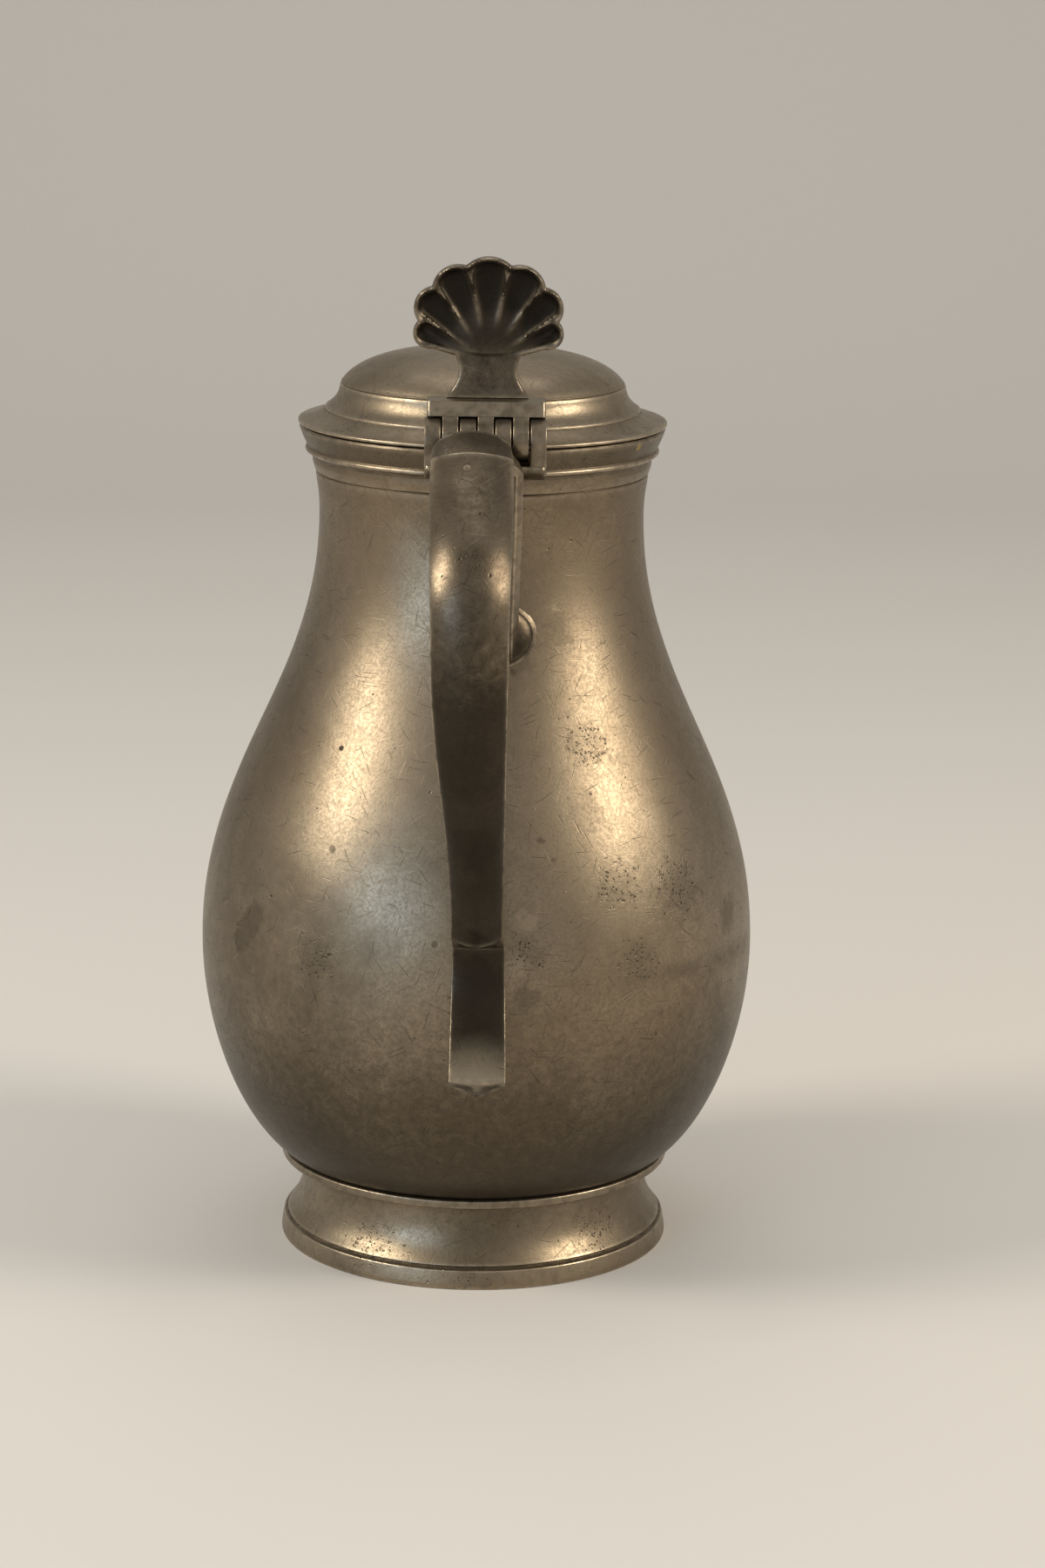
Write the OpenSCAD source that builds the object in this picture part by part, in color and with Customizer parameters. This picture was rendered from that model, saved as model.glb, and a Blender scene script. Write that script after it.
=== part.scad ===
// Pear-shaped pewter flagon with a hinged lid, a scallop thumbpiece and an ear-shaped handle.
// It stands on Z = 0 with its axis on Z. The handle and the hinge are on the -Y side.

/* [Foot] */
// Radius of the foot where it stands
foot_r = 56; // [54:0.5:64]
// Height of the foot, up to the flange that carries the body
foot_h = 26.2; // [22:0.2:32]
// Height of the plain band that stands on the table
foot_band_h = 4.8; // [3:0.2:8]
// Depth of the step above the band
foot_step = 0.6; // [0.3:0.1:1.5]
// Radius of the waist of the foot
foot_waist_r = 49.4; // [47.5:0.1:51]
// Radius of the thin flange on top of the foot
flange_r = 55.9; // [53:0.1:58]
// Thickness of the flange at its edge
flange_t = 2; // [1.2:0.1:2.6]
// Wall of the foot
foot_wall = 2.6; // [1.8:0.1:3.5]
// Width of the ledge inside the foot that carries the floor of the vessel
foot_ledge = 3; // [2:0.2:5]

/* [Body] */
// Outer radius of the body where it meets the foot
body_base_r = 54.6; // [52:0.2:55]
// Largest outer radius of the belly
belly_r = 78.8; // [70:0.2:85]
// Height of the widest part of the belly
belly_z = 88; // [80:1:94]
// Height of the soldered seam between the two body castings
seam_z = 100; // [96:1:110]
// Smallest outer radius of the neck
neck_r = 45.6; // [44.5:0.1:46.5]
// Height of the smallest part of the neck
neck_z = 212; // [206:1:216]
// Wall of the body
body_wall = 2.6; // [1.8:0.1:3.2]
// Height of the lap where the lower casting enters the upper one
seam_lap = 3; // [2:0.5:5]

/* [Mouth] */
// Height of the mouth, where the lid rests
mouth_z = 236.2; // [234:0.2:240]
// Outer radius of the mouth
mouth_r = 51.2; // [50.4:0.1:52]
// Thickness of the mouth's top face
mouth_wall = 2.8; // [2:0.1:3.4]
// Radius of the half-round bead under the mouth band
bead_r = 49.6; // [49:0.1:50.4]
// Thickness of the bead
bead_t = 1.5; // [1:0.1:2.2]
// Distance from the mouth down to the bead
bead_drop = 6.8; // [5.6:0.1:8]
// Distance from the mouth down to the incised line
line_drop = 12.9; // [10:0.1:16]
// Depth of the incised line
line_depth = 0.4; // [0.2:0.1:0.8]

/* [Lid] */
// Largest radius of the lid
lid_r = 51.6; // [50.6:0.1:51.8]
// Height of the lid over the mouth
lid_h = 21.5; // [19:0.5:24]
// Radius of the step on the brim
lid_step_r = 44.2; // [43:0.1:45.5]
// Radius of the line where the dome starts
dome_r = 39.5; // [37:0.1:41]
// Height of the dome line over the lid's underside
dome_rise = 11.6; // [10.5:0.1:12.6]
// Wall of the lid
lid_wall = 2.2; // [1.6:0.1:2.8]
// Depth of the locating ring inside the mouth
bezel_h = 4.5; // [3:0.5:6]
// Outer radius of the locating ring
bezel_r = 46.2; // [45.4:0.1:46.6]
// Thickness of the locating ring
bezel_t = 1.8; // [1.2:0.1:2.4]

/* [Hinge] */
// Distance of the hinge pin from the axis of the body
pin_reach = 59.4; // [59.2:0.1:62]
// Height of the hinge pin over the mouth
pin_rise = 4.4; // [4:0.1:5]
// Width of the whole hinge
hinge_w = 32.4; // [28:0.2:34]
// Radius of the knuckles
knuckle_r = 5.9; // [5.4:0.1:6.6]
// Number of knuckles, counted over both halves
knuckles = 7; // [5:2:9]
// Gap between neighbouring knuckles
knuckle_gap = 0.45; // [0.3:0.05:0.6]
// Radius of the hinge pin
pin_r = 1.6; // [1.2:0.1:2.2]
// Running clearance of the pin in the lid's knuckles
pin_play = 0.05; // [0.02:0.01:0.1]
// Thickness of the plate over the knuckles
leaf_t = 3.8; // [3:0.1:4.4]
// Thickness of the shelf under the knuckles
shelf_t = 4; // [3:0.1:4.6]
// Sideways set of the hinge from the middle of the body
hinge_set = 0.8; // [0:0.1:1.2]

/* [Thumbpiece] */
// Height of the thumbpiece over the hinge plate
thumb_h = 38; // [32:0.5:42]
// Width of the strap where it leaves the hinge plate
strap_w = 23; // [19:0.5:26]
// Width of the waist of the strap
waist_w = 15.6; // [12:0.2:18]
// Height of the waist over the hinge plate
waist_rise = 7.5; // [6:0.5:9]
// Distance from the root of the shell to its top
shell_r = 28; // [24:0.5:30]
// Thickness of the strap
strap_t = 3.2; // [2.4:0.1:4]
// Depth of the flutes in the shell
flute_depth = 2; // [0.8:0.1:2]
// Forward lean of the top of the shell
shell_lean = 5.5; // [2:0.5:8]

/* [Handle] */
// Distance of the back of the grip from the axis, where it stands out most
grip_reach = 116; // [110:1:124]
// Height at which the grip stands out most
grip_z = 196; // [186:1:202]
// Distance of the shoulder crease from the axis
crease_reach = 80; // [79:0.5:83]
// Height of the shoulder crease
crease_z = 240.2; // [238:0.2:242]
// Width of the handle at its top
handle_top_w = 22; // [18:0.5:24]
// Width of the grip at its middle
handle_mid_w = 20.3; // [16:0.5:22]
// Width of the grip at its lower end
handle_low_w = 13.6; // [11:0.2:16]
// Thickness of the grip
grip_t = 7.2; // [5.5:0.1:8]
// Height of the break where the grip ends and the tail starts
break_z = 108; // [104:1:112]
// Distance of the tip of the tail from the axis
tail_reach = 98; // [94:0.5:102]
// Height of the tip of the tail
tail_z = 74.5; // [70:0.5:80]
// Width of the tail at its tip
tail_w = 15; // [12:0.5:18]
// Thickness of the tail
tail_t = 3.6; // [2.6:0.1:4.4]
// Depth of the keel under the tip of the tail
tail_keel = 5; // [0.4:0.1:6]
// Sideways set of the grip, a bend that the handle took in use
grip_set = 2.7; // [0:0.1:4]
// Height of the pad that carries the handle on the neck
pad_z = 185.6; // [182:0.2:190]
// Half width of the pad
pad_half_w = 14.8; // [12:0.1:16]
// Half height of the pad
pad_half_h = 9.7; // [8:0.1:11]
// How far the pad stands out from the neck
pad_t = 3.6; // [2.5:0.1:5]
// Radius of the casting plug in the back of the handle
plug_r = 1; // [0.8:0.1:1.4]
// Depth of the casting plug
plug_h = 3; // [2:0.5:4]
// Sideways place of the casting plug from the middle of the strap
plug_side = 1.2; // [0:0.1:3]

/* [Hidden] */
$fn = 96;
over = 5;
lap_play = 0.1;
lid_gap = 0.3;
edge_r = 0.8;

// Places on a cubic curve from a to d
function curve(a, b, c, d, n) = [for (i = [0:n]) let (t = i/n, s = 1-t)
    s*s*s*a + 3*s*s*t*b + 3*s*t*t*c + t*t*t*d];
// Neighbours of a point, and the unit normal on the left of the way that the line runs
function before(p, i) = p[max(i-1, 0)];
function after(p, i) = p[min(i+1, len(p)-1)];
function way(p, i) = (after(p, i)-before(p, i))/norm(after(p, i)-before(p, i));
function left(v) = [-v[1], v[0]];
// The same line set off to its left by d
function beside(p, d) = [for (i = [0:len(p)-1]) p[i] + d*left(way(p, i))];
function backwards(p) = [for (i = [len(p)-1:-1:0]) p[i]];
function mix(a, b, t) = a + (b-a)*t;
// A smooth step from 0 to 1 between the heights a and b
function ramp(a, b, z) = let (t = min(max((z-a)/(b-a), 0), 1)) t*t*(3-2*t);

// Outer line of the belly, from the foot to the widest part and on to the neck
belly_low_share = [0.6, 0.155, 0.39];
belly_high_share = [0.42, 0.41];
belly_low = curve([body_base_r, foot_h],
    [mix(body_base_r, belly_r, belly_low_share[0]), mix(foot_h, belly_z, belly_low_share[1])],
    [belly_r, mix(foot_h, belly_z, 1-belly_low_share[2])],
    [belly_r, belly_z], 16);
belly_high = curve([belly_r, belly_z],
    [belly_r, mix(belly_z, neck_z, belly_high_share[0])],
    [neck_r, mix(neck_z, belly_z, belly_high_share[1])],
    [neck_r, neck_z], 24);

// Outer line of the neck and the mouth
line_z = mouth_z - line_drop;
bead_z = mouth_z - bead_drop;
collar_r = mix(neck_r, bead_r, 0.5);
line_r = mix(neck_r, bead_r, 0.26);
band_foot_r = bead_r - bead_t*0.4;
neck_line = curve([neck_r, neck_z], [neck_r, mix(neck_z, line_z, 0.5)],
    [line_r, mix(neck_z, line_z, 0.8)], [line_r, line_z - line_depth], 5);
collar_line = [[line_r-line_depth, line_z], [line_r+line_depth/2, line_z+line_depth],
    [collar_r, mix(line_z, bead_z, 0.5)], [collar_r, bead_z-bead_t],
    [collar_r+line_depth, bead_z-bead_t/2]];
bead_line = [for (a = [-90:30:60]) [bead_r-bead_t/2+bead_t/2*cos(a), bead_z+bead_t/2*sin(a)]];
band_line = curve([band_foot_r, bead_z+bead_t*0.6],
    [mix(band_foot_r, mouth_r, 0.35), mix(bead_z, mouth_z, 0.35)],
    [mix(band_foot_r, mouth_r, 0.8), mix(bead_z, mouth_z, 0.7)], [mouth_r, mouth_z], 6);
body_line = concat(belly_low, [for (i = [1:len(belly_high)-1]) belly_high[i]],
    [for (i = [1:len(neck_line)-1]) neck_line[i]], collar_line, bead_line, band_line);

// Inner line of the body, from the mouth down to the floor
mouth_in_r = mouth_r - mouth_wall;
belly_in = beside(concat(belly_low, [for (i = [1:len(belly_high)-1]) belly_high[i]]), body_wall);
throat_line = curve([neck_r-body_wall, neck_z], [neck_r-body_wall, mix(neck_z, bead_z, 0.6)],
    [mouth_in_r-body_wall*0.4, mix(neck_z, bead_z, 0.8)], [mouth_in_r-body_wall*0.4, bead_z], 5);

function belly_out_at(z) = lookup(z, [for (q = body_line) if (q[1] <= neck_z) [q[1], q[0]]]);
seam_r = belly_out_at(seam_z) - body_wall/2;
floor_t = body_wall;
floor_r = foot_waist_r - foot_wall - lap_play;

// Hinge places
pin_y = -pin_reach;
pin_z = mouth_z + pin_rise;
knuckle_w = (hinge_w - (knuckles-1)*knuckle_gap)/knuckles;
leaf_z = pin_z + knuckle_r + knuckle_gap;
leaf_top = leaf_z + leaf_t;
shelf_z = pin_z - knuckle_r - knuckle_gap;
lid_z = mouth_z + lid_gap;

// The whole body without its hollow, to seat pieces on its skin
module body_skin() {
    rotate_extrude()
        polygon(concat([[0, foot_h]], body_line, [[0, mouth_z]]));
}

// The wall of the body over its whole height
module body_shell() {
    rotate_extrude()
        polygon(concat([[floor_r+lap_play, foot_h]], body_line, [[mouth_in_r, mouth_z]],
            backwards(throat_line), backwards([for (i = [1:len(belly_in)-2]) belly_in[i]]),
            [[body_base_r-body_wall, foot_h+body_wall], [floor_r+lap_play, foot_h+body_wall]]));
}

// The foot: a standing band, a waist and a thin flange
module foot() {
    band_r = foot_r - foot_step*1.5;
    waist = curve([band_r-foot_step, foot_band_h+foot_step],
        [mix(band_r, foot_waist_r, 0.75), mix(foot_band_h, foot_h, 0.2)],
        [foot_waist_r, mix(foot_band_h, foot_h, 0.4)],
        [foot_waist_r, foot_h-flange_t*2.4], 10);
    outside = concat([[foot_r, 0], [foot_r, foot_step], [band_r+foot_step/2, foot_band_h],
        [band_r-foot_step, foot_band_h]], waist,
        [[foot_waist_r+foot_step, foot_h-flange_t*1.7], [flange_r-flange_t*0.6, foot_h-flange_t],
        [flange_r, foot_h-flange_t*0.75], [flange_r, foot_h-flange_t*0.25],
        [flange_r-flange_t*0.25, foot_h]]);
    inside = [[floor_r-foot_ledge, foot_h], [floor_r-foot_ledge, foot_h-foot_wall*0.7],
        [foot_waist_r-foot_wall, foot_h-foot_wall*1.8],
        [foot_waist_r-foot_wall, mix(foot_band_h, foot_h, 0.4)],
        [foot_r-foot_wall*1.6, foot_band_h], [foot_r-foot_wall, 0]];
    color([0.60, 0.56, 0.49])
        rotate_extrude()
            polygon(concat(outside, inside));
}

// The floor of the vessel, let into the lower casting and carried by the foot
module base_disc() {
    color([0.52, 0.49, 0.44])
        translate([0, 0, foot_h])
            cylinder(r = floor_r, h = floor_t);
}

// The lower body casting, with a thin lip that enters the upper one
module lower_body() {
    color([0.58, 0.54, 0.47])
        intersection() {
            body_shell();
            union() {
                cylinder(r = belly_r+over, h = seam_z);
                cylinder(r = seam_r, h = seam_z+seam_lap);
            }
        }
}

// The upper body casting, with the neck, the incised line, the bead and the mouth
module upper_body() {
    color([0.60, 0.56, 0.49])
        difference() {
            body_shell();
            cylinder(r = belly_r+over, h = seam_z);
            cylinder(r = seam_r+lap_play, h = seam_z+seam_lap+lap_play);
        }
}

// Outer line of the lid, from the edge of the brim to the top of the dome
dome_z = lid_z + dome_rise;
step_z = lid_z + dome_rise*0.38;
lid_top = mouth_z + lid_h;
brim_line = curve([lid_r, lid_z+edge_r], [mix(lid_r, lid_step_r, 0.25), mix(lid_z, step_z, 0.28)],
    [mix(lid_r, lid_step_r, 0.65), mix(lid_z, step_z, 0.48)], [lid_step_r, mix(lid_z, step_z, 0.86)], 8);
riser_line = curve([lid_step_r-edge_r/2, step_z+edge_r/2],
    [mix(lid_step_r, dome_r, 0.55), mix(step_z, dome_z, 0.25)],
    [mix(lid_step_r, dome_r, 0.85), mix(step_z, dome_z, 0.5)], [dome_r+edge_r/2, dome_z-edge_r], 8);
dome_line = curve([dome_r, dome_z], [dome_r*0.89, mix(dome_z, lid_top, 0.63)],
    [dome_r*0.6, lid_top], [0, lid_top], 16);
lid_line = concat([[lid_r-edge_r/2, lid_z], [lid_r, lid_z+edge_r/2]], brim_line,
    [[lid_step_r, step_z]], riser_line, [[dome_r+edge_r/4, dome_z-edge_r/4]], dome_line);

// The whole lid without its hollow, to seat pieces on its skin
module lid_skin() {
    rotate_extrude()
        polygon(concat(lid_line, [[0, lid_z]]));
}

// The lid casting, hollow underneath
module lid() {
    hollow_r = bezel_r - bezel_t - edge_r;
    ceiling = curve([dome_r-lid_wall, dome_z-lid_wall/2],
        [dome_r*0.89-lid_wall, mix(dome_z, lid_top, 0.63)-lid_wall],
        [dome_r*0.6, lid_top-lid_wall], [0, lid_top-lid_wall], 10);
    color([0.62, 0.58, 0.51])
        rotate_extrude()
            polygon(concat(lid_line, backwards(ceiling),
                [[dome_r-lid_wall/2, step_z], [hollow_r, lid_z+lid_wall], [hollow_r, lid_z]]));
}

// The ring under the lid that keeps it in the middle of the mouth
module lid_bezel() {
    color([0.55, 0.52, 0.46])
        translate([0, 0, lid_z-bezel_h])
            difference() {
                cylinder(r = bezel_r, h = bezel_h);
                translate([0, 0, -over])
                    cylinder(r = bezel_r-bezel_t, h = bezel_h+2*over);
            }
}

// A bar along X through the hinge, from x0, of width w
module across(x0, w, r) {
    translate([hinge_set+x0, pin_y, pin_z])
        rotate([0, 90, 0])
            cylinder(r = r, h = w);
}

function knuckle_x(k) = -hinge_w/2 + k*(knuckle_w+knuckle_gap);

// A side outline of the hinge, given as [reach, height], drawn over the hinge's width
module side_plate(line, w) {
    translate([hinge_set-w/2, 0, 0])
        rotate([90, 0, 90])
            linear_extrude(w)
                polygon([for (q = line) [-q[0], q[1]]]);
}

// The shelf that carries the knuckles, as a side outline
shelf_front = pin_reach + knuckle_r;
shelf_line = [[mouth_r-over, shelf_z], [shelf_front, shelf_z], [shelf_front+edge_r/2, shelf_z-edge_r],
    [shelf_front-edge_r, shelf_z-shelf_t*0.6], [pin_reach+knuckle_r*0.3, shelf_z-shelf_t],
    [mouth_r-over, shelf_z-shelf_t]];
module shelf_block() {
    side_plate(shelf_line, hinge_w);
}

// The body's half of the hinge: a shelf on the mouth band and every other knuckle
module hinge_lug() {
    color([0.62, 0.58, 0.52])
        difference() {
            union() {
                shelf_block();
                for (k = [0:2:knuckles-1]) {
                    across(knuckle_x(k), knuckle_w, knuckle_r);
                    translate([hinge_set+knuckle_x(k), pin_y-knuckle_r*0.95, shelf_z-edge_r])
                        cube([knuckle_w, knuckle_r*1.7, knuckle_r*0.9]);
                }
            }
            body_skin();
            across(-hinge_w/2-over, hinge_w+2*over, pin_r);
        }
}

// The pin, fixed in the body's knuckles
module hinge_pin() {
    color([0.45, 0.44, 0.43])
        across(-hinge_w/2, hinge_w, pin_r);
}

// Side outline of the lid's half of the hinge, down onto the brim
leaf_front = pin_reach + knuckle_r*0.1;
leaf_back = mouth_r - edge_r*1.5;
leaf_line = [[leaf_front, leaf_z], [leaf_front, leaf_top-edge_r/2], [leaf_front-edge_r/2, leaf_top],
    [leaf_back, leaf_top], [mix(leaf_back, dome_r, 0.75), dome_z-edge_r],
    [mix(leaf_back, dome_r, 0.8), lid_z+edge_r], [leaf_back, lid_z+edge_r],
    [leaf_back+knuckle_gap, pin_z+knuckle_gap], [pin_reach-knuckle_r*0.7, leaf_z]];

// A lid knuckle runs up into the front of the plate along its tangent
web_z = mix(leaf_z, leaf_top, 0.5);
web_angle = atan2(web_z-pin_z, leaf_front-pin_reach)
    - acos(knuckle_r/norm([leaf_front-pin_reach, web_z-pin_z]));
web_line = [[leaf_front, web_z],
    [pin_reach+knuckle_r*cos(web_angle), pin_z+knuckle_r*sin(web_angle)],
    [pin_reach, pin_z], [pin_reach-knuckle_r*0.7, pin_z], [pin_reach-knuckle_r*0.7, web_z]];

// The lid's half of the hinge: a plate over the knuckles, a saddle on the brim and its knuckles
module lid_hinge_leaf() {
    color([0.62, 0.58, 0.52])
        difference() {
            union() {
                side_plate(leaf_line, hinge_w);
                for (k = [1:2:knuckles-2]) {
                    across(knuckle_x(k), knuckle_w, knuckle_r);
                    translate([knuckle_x(k)+knuckle_w/2, 0, 0])
                        side_plate(web_line, knuckle_w);
                }
            }
            lid_skin();
            for (k = [0:2:knuckles-1])
                across(knuckle_x(k)-knuckle_gap, knuckle_w+2*knuckle_gap, knuckle_r+knuckle_gap);
            across(-hinge_w/2-over, hinge_w+2*over, pin_r+pin_play);
        }
}

// Front outline of the shell: seven lobes on rays from the root of the shell
lobe_angles = [0, 23.2, 45.1, 65.5];
lobe_share = [0.694, 0.724, 0.707, 0.62];
lobe_round_share = [0.306, 0.256, 0.209, 0.152];
shell_root_z = leaf_top + thumb_h - shell_r;
shell_set = hinge_set + knuckle_gap;
function lobe_way(k) = sign(k)*lobe_angles[abs(k)];
function lobe_place(k, d) = [d*sin(lobe_way(k)), shell_root_z + d*cos(lobe_way(k))];
module shell_outline() {
    for (k = [-3:3])
        translate(lobe_place(k, shell_r*lobe_share[abs(k)]))
            circle(r = shell_r*lobe_round_share[abs(k)]);
    last_lobe = lobe_place(3, shell_r*lobe_share[3]) - [0, shell_r*lobe_round_share[3]*0.9];
    polygon(concat([[waist_w*0.55, shell_root_z+edge_r], last_lobe],
        [for (k = [3:-1:-3]) lobe_place(k, shell_r*lobe_share[abs(k)])],
        [[-last_lobe[0], last_lobe[1]], [-waist_w*0.55, shell_root_z+edge_r]]));
}

// Front outline of the strap: concave sides from the hinge plate up to the waist
waist_z = leaf_top + waist_rise;
strap_side = curve([strap_w/2, leaf_top], [mix(waist_w, strap_w, 0.3)/2, leaf_top+waist_rise*0.35],
    [waist_w/2, mix(leaf_top, waist_z, 0.6)], [waist_w/2, waist_z], 8);
module strap_outline() {
    upper = concat(strap_side, [[waist_w*0.56, shell_root_z+edge_r]]);
    polygon(concat(upper, backwards([for (q = upper) [-q[0], q[1]]])));
}

// Side outline of the thumbpiece: a fillet at the plate, an upright waist and a shell that leans out
thumb_back = leaf_back - edge_r;
thumb_front = thumb_back + strap_t;
thumb_top = leaf_top + thumb_h;
root_steps = 5;
thumb_face = concat(
    curve([thumb_front+strap_t/2, leaf_top], [thumb_front+strap_t/5, leaf_top],
        [thumb_front, leaf_top+strap_t/4], [thumb_front, leaf_top+waist_rise*0.5], root_steps),
    curve([thumb_front, waist_z], [thumb_front, mix(waist_z, thumb_top, 0.4)],
        [thumb_front+shell_lean*0.4, mix(waist_z, thumb_top, 0.7)],
        [thumb_front+shell_lean, thumb_top], 8));
thumb_line = concat(thumb_face, [[thumb_front+shell_lean-strap_t, thumb_top+edge_r]],
    backwards([for (i = [root_steps+1:len(thumb_face)-2]) thumb_face[i]-[strap_t, 0]]),
    [[thumb_back, leaf_top]]);

// A flute: it widens and sinks into the face towards its lobe, with round ends
flute_share = [0.8, 0.81, 0.75, 0.645];
flute_round_share = 0.62;
flute_start_share = 0.3;
flute_steps = 36;
function face_at(z) = lookup(z, [for (q = thumb_face) [q[1], q[0]]]);
function flute_place(k, d, out) = let (q = lobe_place(k, d)) [shell_set+q[0], -face_at(q[1])-out, q[1]];
module flute(k) {
    wide = shell_r*lobe_round_share[abs(k)]*flute_round_share;
    start_r = wide*0.3;
    start = flute_place(k, shell_r*flute_share[abs(k)]*flute_start_share, start_r);
    end = flute_place(k, shell_r*flute_share[abs(k)], wide-flute_depth);
    hull() {
        translate(start)
            sphere(r = start_r, $fn = flute_steps);
        translate(end)
            sphere(r = wide, $fn = flute_steps);
    }
}

// The thumbpiece: a waisted strap that opens into a scallop shell
module thumbpiece() {
    color([0.50, 0.47, 0.43])
        difference() {
            intersection() {
                side_plate(thumb_line, belly_r);
                translate([shell_set, 0, 0])
                    rotate([90, 0, 0])
                        linear_extrude(grip_reach)
                            union() {
                                shell_outline();
                                strap_outline();
                            }
            }
            for (k = [-3:3])
                flute(k);
        }
}

// Back line of the grip and the tail, given as [reach, height]
break_reach = belly_out_at(break_z) + grip_t + tail_t/2;
grip_high = curve([crease_reach, crease_z],
    [mix(crease_reach, grip_reach, 0.45), mix(crease_z, grip_z, 0.33)],
    [grip_reach, mix(grip_z, crease_z, 0.6)], [grip_reach, grip_z], 12);
grip_low = curve([grip_reach, grip_z], [grip_reach, mix(grip_z, break_z, 0.42)],
    [mix(break_reach, grip_reach, 0.45), mix(break_z, grip_z, 0.3)], [break_reach, break_z], 12);
tail_start = [belly_out_at(break_z)+tail_t, break_z-tail_t/2];
tail_line = curve(tail_start, [tail_start[0]-tail_t/2, mix(break_z, tail_z, 0.45)],
    [mix(tail_start[0], tail_reach, 0.35), mix(break_z, tail_z, 0.65)], [tail_reach, tail_z], 9);
grip_back = concat(grip_high, [for (i = [1:len(grip_low)-1]) grip_low[i]]);
grip_in = beside(grip_back, -grip_t);
tail_in = beside(tail_line, -tail_t);

// The leg that rises from the pad on the neck, clear of the knuckles, to the shoulder
leg_t = grip_t*0.9;
leg_root = belly_out_at(pad_z);
leg_half_h = pad_half_h*0.75;
leg_high_root = belly_out_at(pad_z+leg_half_h);
leg_low_root = belly_out_at(pad_z-leg_half_h);
leaf_sweep = norm([leaf_front-pin_reach, leaf_top-pin_z]) + knuckle_gap*1.5;
leg_top = [pin_reach+leaf_sweep*cos(-6), pin_z+leaf_sweep*sin(-6)];
leg_back = concat(
    curve([leg_high_root-edge_r, pad_z+leg_half_h], [leg_root+pad_t, pad_z+pad_half_h],
        [mix(leg_root, shelf_front, 0.7), mix(pad_z, shelf_z, 0.45)],
        [shelf_front-edge_r, shelf_z-shelf_t], 8),
    [[shelf_front, shelf_z-edge_r], [mix(shelf_front, leg_top[0], 0.6), mix(shelf_z, leg_top[1], 0.5)],
    leg_top]);
leg_in = concat(
    curve([leg_low_root-edge_r, pad_z-leg_half_h], [leg_low_root+pad_t*1.4, pad_z-leg_half_h],
        [mix(leg_root, shelf_front, 0.85), mix(pad_z, shelf_z, 0.2)],
        [shelf_front+leg_t-edge_r, shelf_z-shelf_t], 8),
    [[shelf_front+leg_t, shelf_z-edge_r*2], [shelf_front+leg_t+edge_r, shelf_z-edge_r],
    [shelf_front+leg_t+edge_r*2, shelf_z-edge_r/2]]);
// The tip stays clear of the hinge plate when the lid is open past upright by this angle
open_over_angle = 10;
tongue_rise = knuckle_r*0.7;
tongue_tip = [pin_reach+(leaf_top-pin_z)/cos(open_over_angle)+tongue_rise*tan(open_over_angle)+lid_gap,
    pin_z+tongue_rise];
crest_in = grip_in[0];

// Stations of the handle: inner point, back point, width, sideways set, crown share, roundness
// and the share by which a keel stands out on the inner side
function back_w(z) = mix(handle_low_w, handle_mid_w, ramp(break_z, grip_z, z))
    + (handle_top_w-handle_mid_w)*ramp(grip_z, crease_z, z);
function back_set(z) = -grip_set*ramp(break_z+grip_t, grip_z-grip_t, z);
tail_set = hinge_set*0.75;
function leg_w(z) = mix(handle_mid_w, handle_top_w, ramp(pad_z, crease_z, z)) - edge_r;
function leg_set(z) = hinge_set/2 - (grip_set+hinge_set/2)*ramp(shelf_z, crease_z, z);
leg_stations = [for (i = [0:len(leg_back)-1])
    [leg_in[i], leg_back[i], leg_w(leg_back[i][1]), leg_set(leg_back[i][1]), 0.8, 2, 0]];
crest_stations = [
    [mix(leg_in[len(leg_in)-1], crest_in, 0.5), tongue_tip, handle_top_w*0.97, -grip_set, 0.42, 2, 0],
    [mix(leg_in[len(leg_in)-1], crest_in, 0.8), mix(tongue_tip, [crease_reach, crease_z], 0.5),
        handle_top_w, -grip_set, 0.5, 1.8, 0]];
grip_stations = [for (i = [0:len(grip_back)-1])
    [grip_in[i], grip_back[i], back_w(grip_back[i][1]), back_set(grip_back[i][1]), 0.68, 1.4, 0]];
tail_stations = [for (i = [0:len(tail_line)-1])
    [tail_in[i], tail_line[i], mix(handle_low_w-edge_r/2, tail_w, ramp(break_z, tail_z, tail_line[i][1])),
        tail_set, 0.9, 1.3, tail_keel/tail_t*ramp(belly_z, tail_z, tail_line[i][1])]];
stations = concat(leg_stations, crest_stations, grip_stations, tail_stations);

// One ring of the handle's skin: flat inside, straight flanks and a crowned back
back_steps = 8;
function arch(u, m) = pow(max(1-pow(abs(u), m), 0), 1/m);
function ring(st) = let (q = concat([[-0.84, 0], [0, -st[6]], [0.84, 0], [1, st[4]*0.4]],
        [for (i = [0:back_steps]) let (u = cos(180*i/back_steps)) [u, st[4]+(1-st[4])*arch(u, st[5])]],
        [[-1, st[4]*0.4]]))
    [for (v = q) let (p = mix(st[0], st[1], v[1])) [st[3]+v[0]*st[2]/2, -p[0], p[1]]];

// A closed skin over the stations
module handle_solid() {
    rings = [for (st = stations) ring(st)];
    m = len(rings[0]);
    last = len(rings)-1;
    polyhedron(
        points = [for (r = rings) for (q = r) q],
        faces = concat([[for (j = [0:m-1]) j]],
            [for (i = [0:last-1]) for (j = [0:m-1]) let (a = i*m+j, b = i*m+(j+1)%m) each
                [[a, a+m, b], [b, a+m, b+m]]],
            [[for (j = [m-1:-1:0]) last*m+j]]),
        convexity = 10);
}

// Where the casting plug sits on the back of the handle
plug_i = 1;
plug_way = left(way(grip_back, plug_i));
// The plug's seam is turned off the line of the casting's facets
plug_angle = 50;
module plug_place() {
    translate([-grip_set-plug_side, -grip_back[plug_i][0], grip_back[plug_i][1]])
        rotate([atan2(plug_way[0], plug_way[1]), 0, 0])
            rotate([0, 0, plug_angle])
                children();
}

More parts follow.
